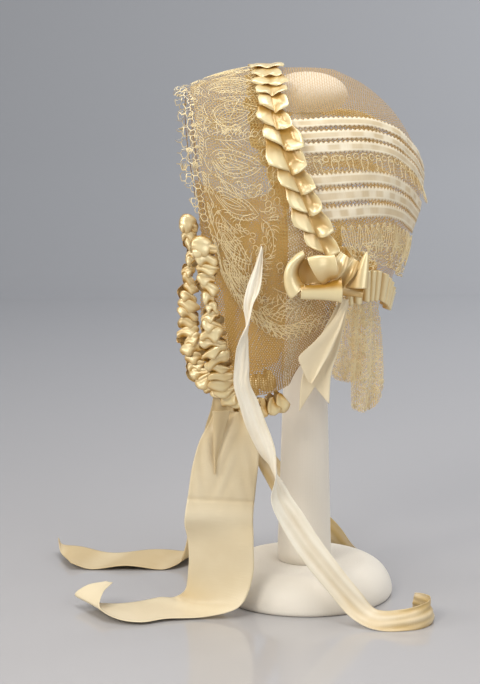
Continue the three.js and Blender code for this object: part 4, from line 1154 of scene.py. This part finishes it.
def leafFolds(u, v):
    # the tail is flat and turns forward along its rear edge
    return 1.6 * smoothStep(v, 0.55, 1.0) * smoothStep(u, 0.05, 0.3) + 0.3 * np.sin(3 * v + 6 * u)


for hand, word in hands:
    ribbonPiece(f"bow_tail_notched_{word}", bowTailNotched, f"bow_tail_long_{word}", tieSilk, "satin_ribbon",
                leafFolds, hand=hand, notch=0.16)
    ribbonPiece(f"bow_tail_leaf_{word}", bowTailLeaf, f"bow_tail_short_{word}", tieSilk, "satin_ribbon",
                leafFolds, hand=hand)
    # the tab: painted light over it, deepening to painted shade at its lower end
    ribbonPiece(f"bow_tab_{word}", bowTab, f"bow_knot_{word}", satin, "satin_ribbon",
                lambda u, v: 0.4 * np.cos(1.3 * math.pi * v + 3 * u), hand=hand,
                paintedLightBase=0.85, endShade=0.5)
    grids = [*shellLoop(shellShape), rollGrid(rollShape)]
    grids = [(handed(points, hand), paintedLightAndWeave) for points, paintedLightAndWeave in grids]
    loop = gridPiece(f"bow_loop_{word}", grids, satin, flip=hand < 0)
    thickenPiece(loop, ribbonWalls["bow"])
    ride(loop, f"bow_loop_front_{word}", slot="satin_ribbon")
    grids = [foldGrid(bowFold)]
    for rows, tone in bowStrips:
        # each strip's painted tone, lighter where it rises
        strip, rise = freeRibbon(rows, 40, 17, lambda u, v: 0.9 * np.cos(math.pi * v + 2 * u))
        grids.append((strip, np.clip(tone + 0.3 * rise, 0, 1)))
    grids = [(handed(points, hand), paintedLightAndWeave) for points, paintedLightAndWeave in grids]
    folds = gridPiece(f"bow_folds_{word}", grids, satin, flip=hand > 0)
    thickenPiece(folds, ribbonWalls["bow"])
    ride(folds, f"bow_loop_back_{word}", slot="satin_ribbon")

# lappets: lace strips that hang from the nape ribbon
lappetRows = [[58.5, 38.5, 242, 24, -0.6, 0.8, 0], [58.5, 39, 215, 32, -0.6, 0.8, 0],
              [57, 40, 185, 32, -0.5, 0.85, 0], [56, 39.5, 156, 28, -0.4, 0.9, 0]]
lappetShape = {"pitch": 1.7, "thread": 0.38, "motif": 0.5, "motifLift": 0.3, "repeat": 24, "wave": 2.2,
               "round": 15}


def lappetKeep(patch, s, t):
    # the lower end is round
    past = np.maximum(s - (patch.length - lappetShape["round"]), 0) / lappetShape["round"]
    aside = (t - patch.depth.mean() / 2) / (patch.depth.mean() / 2)
    return past ** 2 + np.minimum(np.abs(aside), 1) ** 2 * (past > 0) <= 1


def lappetUnit(width, flip):
    # one repeat down the strip: a bent leaf, a nested oval and rings, turned over at every second one
    lines = []
    for k in range(3):
        lines += leafLines((2 + k, 15), (width - 2 - k, 15), 6.5 - 2.1 * k, 0)[:1]
    lines += leafLines((1, 6), (width - 3, 4.5), 2.6, 4, 2 * flip)
    lines += leafLines((3, 26), (width - 1, 24), 2.6, 4, -2)
    lines += [ringLine((width * 0.5, 21.5), 1.6, 7), ringLine((width * 0.98, 10), 1.5, 7)]
    return lines


def lappetWave(u, v):
    # lengthwise waves that deepen towards the lower end
    return lappetShape["wave"] * np.sin(2.2 * math.pi * v + 3 * u) * (0.3 + 0.7 * u)


for hand, word in hands:
    points, _ = freeRibbon(lappetRows, 120, 24, lappetWave)
    patch = Patch(handed(points, hand))
    lappet = netPiece(f"lappet_ground_{word}", patch, lappetShape["pitch"], lappetShape["thread"], lappetNet,
                      keep=lambda s, t: lappetKeep(patch, s, t))
    ride(lappet, f"lappet_{word}", slot="blonde_lace")
    units = round(patch.length / lappetShape["repeat"])
    lappetLines = tiled(lappetUnit, patch.length, lappetShape["repeat"], units)
    lappetLines = wobbled(lappetLines, 0.7) + looseLines(patch, 0, 90, 160)
    lappetLines = [line for line in lappetLines if lappetKeep(patch, line[:, 0], line[:, 1]).all()]
    # rings down both edges and round the end
    centres = np.arange(3, patch.length - 12, 4.2)
    lappetLines += [ringLine((c, k), 1.9, 8) for k in (2.2, 29) for c in centres]
    lappetLines += [ringLine((patch.length - 9 + 6 * math.cos(a), 15 + 12 * math.sin(a)), 2.1, 8)
                    for a in np.linspace(-1.4, 1.4, 8)]
    lappetMotif = threadPiece(f"lappet_motif_{word}", patch, lappetLines, lappetShape["motif"], laceThread,
                              lappetShape["motifLift"])
    ride(lappetMotif, slot="blonde_lace")
    netSheet(lappet, patch)
print("bows and lappets made")

# chin ties and streamers
chinTieLeft = [
    [44, -56, 155.1, 36, 0.1, 1, 0], [47, -59, 146, 39, 0.05, 1, 0], [49, -62.6, 134, 45, 0, 1, 0],
    [51, -65.7, 115, 50, 0, 1, 0], [53, -68.5, 94, 51, 0, 1, 0], [55, -70.9, 75, 52, 0.05, 1, 0],
    [54, -69.5, 56, 51, 0.3, 1, 0], [54, -69.5, 34, 51, 0.35, 1, -0.05], [53, -76, 12, 50, 0.6, 0.8, -0.12],
    [45, -93, 3, 51, 0.9, 0.4, -0.04], [45, -115, 2, 52, 1, 0.15, 0], [53, -138, 2, 52, 1, 0.3, 0],
    [52, -158, 4, 48, 0.95, 0.4, 0], [45, -171, 9, 40, 0.9, 0.5, 0], [35, -165, 16, 24, 0.85, 0.5, 0],
    [28, -154, 19, 8, 0.8, 0.6, 0]]
chinTieRight = [
    [-44, -54, 148, 30, -0.1, 1, 0], [-48, -53, 137, 36, -0.05, 1, 0], [-54, -54, 120, 43, 0, 1, 0],
    [-64, -57, 88, 48, 0, 1, 0], [-76, -61, 50, 50, 0, 1, 0], [-85, -67, 18, 52, -0.4, 1, 0.1],
    [-89, -84, 4, 52, -0.9, 0.5, 0], [-88, -108, 2, 52, -1, 0.1, 0], [-90, -140, 2, 52, -1, 0, 0],
    [-92, -168, 2.5, 51, -1, 0, 0], [-95, -188, 6, 50, -1, -0.05, 0.05], [-97, -196, 9, 49, -1, -0.05, 0.1]]
tieFlap = [[52, -68.7, 158, 13.6, 0, 1, 0], [52.5, -69.5, 150, 11, 0, 1, 0], [53, -71.5, 136, 6.5, 0, 1, 0],
           [53.5, -73, 122, 3, 0, 1, 0], [53.5, -73.3, 109.5, 0.6, 0, 1, 0]]
streamerHang = [
    [82, -41, 284.5, 1.2, 0, 1, 0.1], [82.5, -43.3, 271, 6, 0.1, 1, 0], [83, -47, 255, 10, 0.3, 1, 0],
    [83, -50.5, 243, 8, 0.6, 0.8, 0], [82, -51, 230, 9, 1, 0.1, 0], [80, -54.4, 212, 10, 0.5, -0.9, 0],
    [78, -55, 197, 11, 0.1, -1, 0], [77, -55, 183, 12, 0, -1, -0.15], [75, -50, 169, 14, 0, -1, -0.3],
    [74, -45, 154, 15, -0.1, -1, -0.3], [74, -36.5, 134, 15, -0.5, -0.8, -0.3],
    [73, -30.5, 116, 16, -1, -0.1, 0], [73, -26.6, 96, 17, -0.5, 0.8, 0.3],
    [74, -16.8, 78, 19, -0.1, 0.9, 0.45], [77, -3, 56, 20, 0, 0.8, 0.6]]
streamerLeftEnd = [
    [84, 22, 24, 19, 0.1, 0.7, 0.6], [91, 36, 9.5, 18, -0.5, 0.6, 0.5], [98.5, 48, 6.4, 18, -0.7, 0.3, 0.6],
    [101.5, 64, 7.4, 17, -0.6, 0, 0.8], [98.5, 77, 8.4, 17, -0.4, -0.15, 0.9],
    [89, 86.5, 8.8, 17, -0.1, -0.2, 1], [76, 88.5, 8.9, 17, 0.1, -0.1, 1], [67, 82, 8.9, 16, 0.1, 0.1, 1],
    [64, 77, 8.9, 15, 0.1, 0.1, 1]]
streamerRightEnd = [
    [84, 26, 27, 20, 0.1, 0.7, 0.6], [92, 40, 10, 19, -0.4, 0.8, 0.3], [99, 52, 3, 12, -0.8, 0.6, 0.05]]
# where a streamer's pointed top lies on the lace: station, share, and height above the brim in mm
streamerSeat = {"at": 4.53, "share": 0.43, "step": 0.01, "lift": 2.1}


def ridge(u, at, width):
    # a smooth fold of the given width across the ribbon, 1 at its line
    return np.exp(-((u - at) / width) ** 2)


def tieFolds(u, v):
    # gathers below the ruche, a sharp crease half way with a soft wave under it,
    # small puckers, and a soft lift where it turns on the floor
    gathers = 1.6 * np.exp(-u / 0.08) * np.cos(3.2 * math.pi * v)
    crease = -0.8 * ridge(u, 0.283 + 0.006 * v, 0.004) + 1.2 * ridge(u, 0.325, 0.025)
    puckers = 0.35 * np.sin(60 * u + 5 * np.sin(4 * v)) * ridge(u, 0.2, 0.09)
    turn = 1.2 * ridge(u + 0.05 * v, 0.6, 0.03)
    return gathers + crease + puckers + turn + 0.5 * np.sin(9 * u + 1.5 * v)


def farTieFolds(u, v):
    # gathers below the ruche, and waves across the part that lies on the floor
    gathers = 1.9 * np.exp(-u / 0.10) * np.cos(3.2 * math.pi * v)
    waves = 1.6 * np.sin(34 * u + 1.2 * v) * smoothStep(u, 0.5, 0.65)
    return gathers + waves + 0.6 * np.sin(9 * u + 1.5 * v)


def streamerFolds(u, v):
    # one lengthwise fold that wanders from edge to edge, and finer ones beside it
    return 0.8 * np.cos(math.pi * (1.1 * v + 5 * u)) + 0.4 * np.cos(math.pi * (3.1 * v - 9 * u))


# the near tie's flap is painted shade throughout, with a low fixed tone
flap, _ = freeRibbon(tieFlap, 60, 17, lambda u, v: 1.2 * np.cos(2 * v + 1))
ribbonPiece("chin_tie_left", chinTieLeft, "chin_tie_left", tieSilk, "silk_tie",
            tieFolds, along=200, across=31, extra=[(flap, 0.15)], topShade=0.8)
# the near tie has painted shade where it is gathered at the top; the far tie has painted shade all over,
# lighter only where its folds rise
ribbonPiece("chin_tie_right", chinTieRight, "chin_tie_right", tieSilk, "silk_tie",
            farTieFolds, along=180, across=31, cut=0.1, paintedLightBase=0.0)
for hand, word, end in ((1, "left", streamerLeftEnd), (-1, "right", streamerRightEnd)):
    step = streamerSeat["step"] * np.array([0, 1])
    near = cheekPoint(streamerSeat["at"] + step[:, None], streamerSeat["share"] + step[None], hand)
    seat = near[0, 0] + gridNormals(near)[0, 0] * streamerSeat["lift"]
    rows = [[*seat, 2, 0, 1, 0.1], *streamerHang, *end]
    # painted light over the streamers, painted shade towards their free ends
    ribbonPiece(f"streamer_{word}", rows, f"streamer_{word}", streamerSilk, "silk_tie",
                streamerFolds, along=230, across=21, hand=hand, paintedLightBase=0.9, endShade=0.75)
print("ties and streamers made")

# floor, light and camera
stageShape = {"near": 1.6, "far": -1.5, "curve": 0.9, "top": 2.2, "half": 3.0}
# glossy painted board: its colours on the left and right side, near and far; darker on the left and at the
# back, painted shade where the studio light falls off
stageLook = {"near": ("#b1aeae", "#bdbaba"), "far": ("#a0a2a7", "#abadb2"), "roughness": 0.11, "shine": 0.7}
airLook = {"colour": "#c3c6cc", "strength": 0.36}
t = np.linspace(0, quarter, 24)
g = stageShape
profile = np.concatenate([[[g["near"], 0]],
                          np.stack([g["far"] - g["curve"] * np.sin(t), g["curve"] * (1 - np.cos(t))], axis=1),
                          [[g["far"] - g["curve"], g["top"]]]]) / mm
sides = np.array([-g["half"], g["half"]]) / mm
points = np.stack([np.repeat(profile[:, :1], 2, 1), np.repeat(sides[None], len(profile), 0),
                   np.repeat(profile[:, 1:], 2, 1)], axis=-1)
stageMaterial, tree = newMaterial("pale studio ground")
place = addNode(tree, "ShaderNodeTexCoord")
parts = addNode(tree, "ShaderNodeSeparateXYZ", None, {0: place["Object"]})
depth = addNode(tree, "ShaderNodeMapRange", None,
                {"Value": parts[0], "From Min": 0.5, "From Max": -1.9, "To Min": 0.0, "To Max": 1.0})
across = addNode(tree, "ShaderNodeMapRange", None, {"Value": parts[1], "From Min": -0.5, "From Max": 0.6})
near, far = (mixColours(tree, across[0], *map(linear, stageLook[part])) for part in ("near", "far"))
colour = mixColours(tree, depth[0], near, far)
finishMaterial(tree, {"Base Color": colour, "Roughness": stageLook["roughness"],
                      "Specular IOR Level": stageLook["shine"]})
ground = gridPiece("studio_ground", [(points, 0.5)], stageMaterial, flip=True)

lights = {
    "key": {"place": (1.5, -1.3, 1.7), "aim": (0, 0, 0.26), "size": 0.9, "power": 25.5, "colour": "#fffaf0"},
    "fill": {"place": (1.7, 1.3, 1.0), "aim": (0, 0, 0.2), "size": 1.6, "power": 18, "colour": "#fbfaf8"},
    "top": {"place": (-0.1, 0.1, 1.9), "aim": (0, 0.001, 0.2), "size": 1.4, "power": 25, "colour": "#ffffff"},
    "side": {"place": (0.4, -1.7, 0.75), "aim": (0, 0, 0.2), "size": 0.8, "power": 11, "colour": "#fffaf2"},
    "back": {"place": (-1.1, 1.6, 1.3), "aim": (-2.3, 0.5, 0.8), "size": 1.0, "power": 16,
             "colour": "#ffffff"},
}


def lookAt(place, target):
    # a turn whose -Z points from place to target and whose Y is upright
    back = unit(np.asarray(place) - np.asarray(target))
    right = unit(np.cross([0, 0, 1], back))
    up = np.cross(back, right)
    matrix = np.eye(4)
    matrix[:3, 0], matrix[:3, 1], matrix[:3, 2], matrix[:3, 3] = right, up, back, place
    return Matrix(matrix.tolist())


for name, light in lights.items():
    data = bpy.data.lights.new(name, "AREA")
    data.energy, data.size, data.color = light["power"], light["size"], linear(light["colour"])[:3]
    lamp = bpy.data.objects.new(name, data)
    lamp.matrix_world = lookAt(np.array(light["place"]), np.array(light["aim"]))
    bpy.context.scene.collection.objects.link(lamp)

world = bpy.data.worlds.new("studio air")
world.use_nodes = True
air = world.node_tree.nodes["Background"]
air.inputs[0].default_value = linear(airLook["colour"])
air.inputs[1].default_value = airLook["strength"]
bpy.context.scene.world = world

# place in metres, turns in degrees, and the lens as pixels of the picture
view = {"distance": 1.5, "height": 0.47, "azimuth": 84.0, "pitch": -10.2, "yaw": 1.94, "focalPx": 1964,
        "imagePx": 684, "sensorMm": 24.0}
azimuth, pitch = math.radians(view["azimuth"]), math.radians(view["pitch"])
heading = azimuth + math.radians(view["yaw"])
eye = np.array([view["distance"] * math.sin(azimuth), -view["distance"] * math.cos(azimuth),
                view["height"]])
ahead = np.array([-math.sin(heading) * math.cos(pitch), math.cos(heading) * math.cos(pitch),
                  math.sin(pitch)])
camera = bpy.data.objects.new("camera", bpy.data.cameras.new("camera"))
camera.data.sensor_fit = "VERTICAL"
camera.data.sensor_height = view["sensorMm"]
camera.data.lens = view["sensorMm"] * view["focalPx"] / view["imagePx"]
camera.data.clip_end = 20.0
camera.matrix_world = lookAt(eye, eye + ahead)
bpy.context.scene.collection.objects.link(camera)
bpy.context.scene.camera = camera
bpy.context.scene.view_settings.view_transform = "Standard"
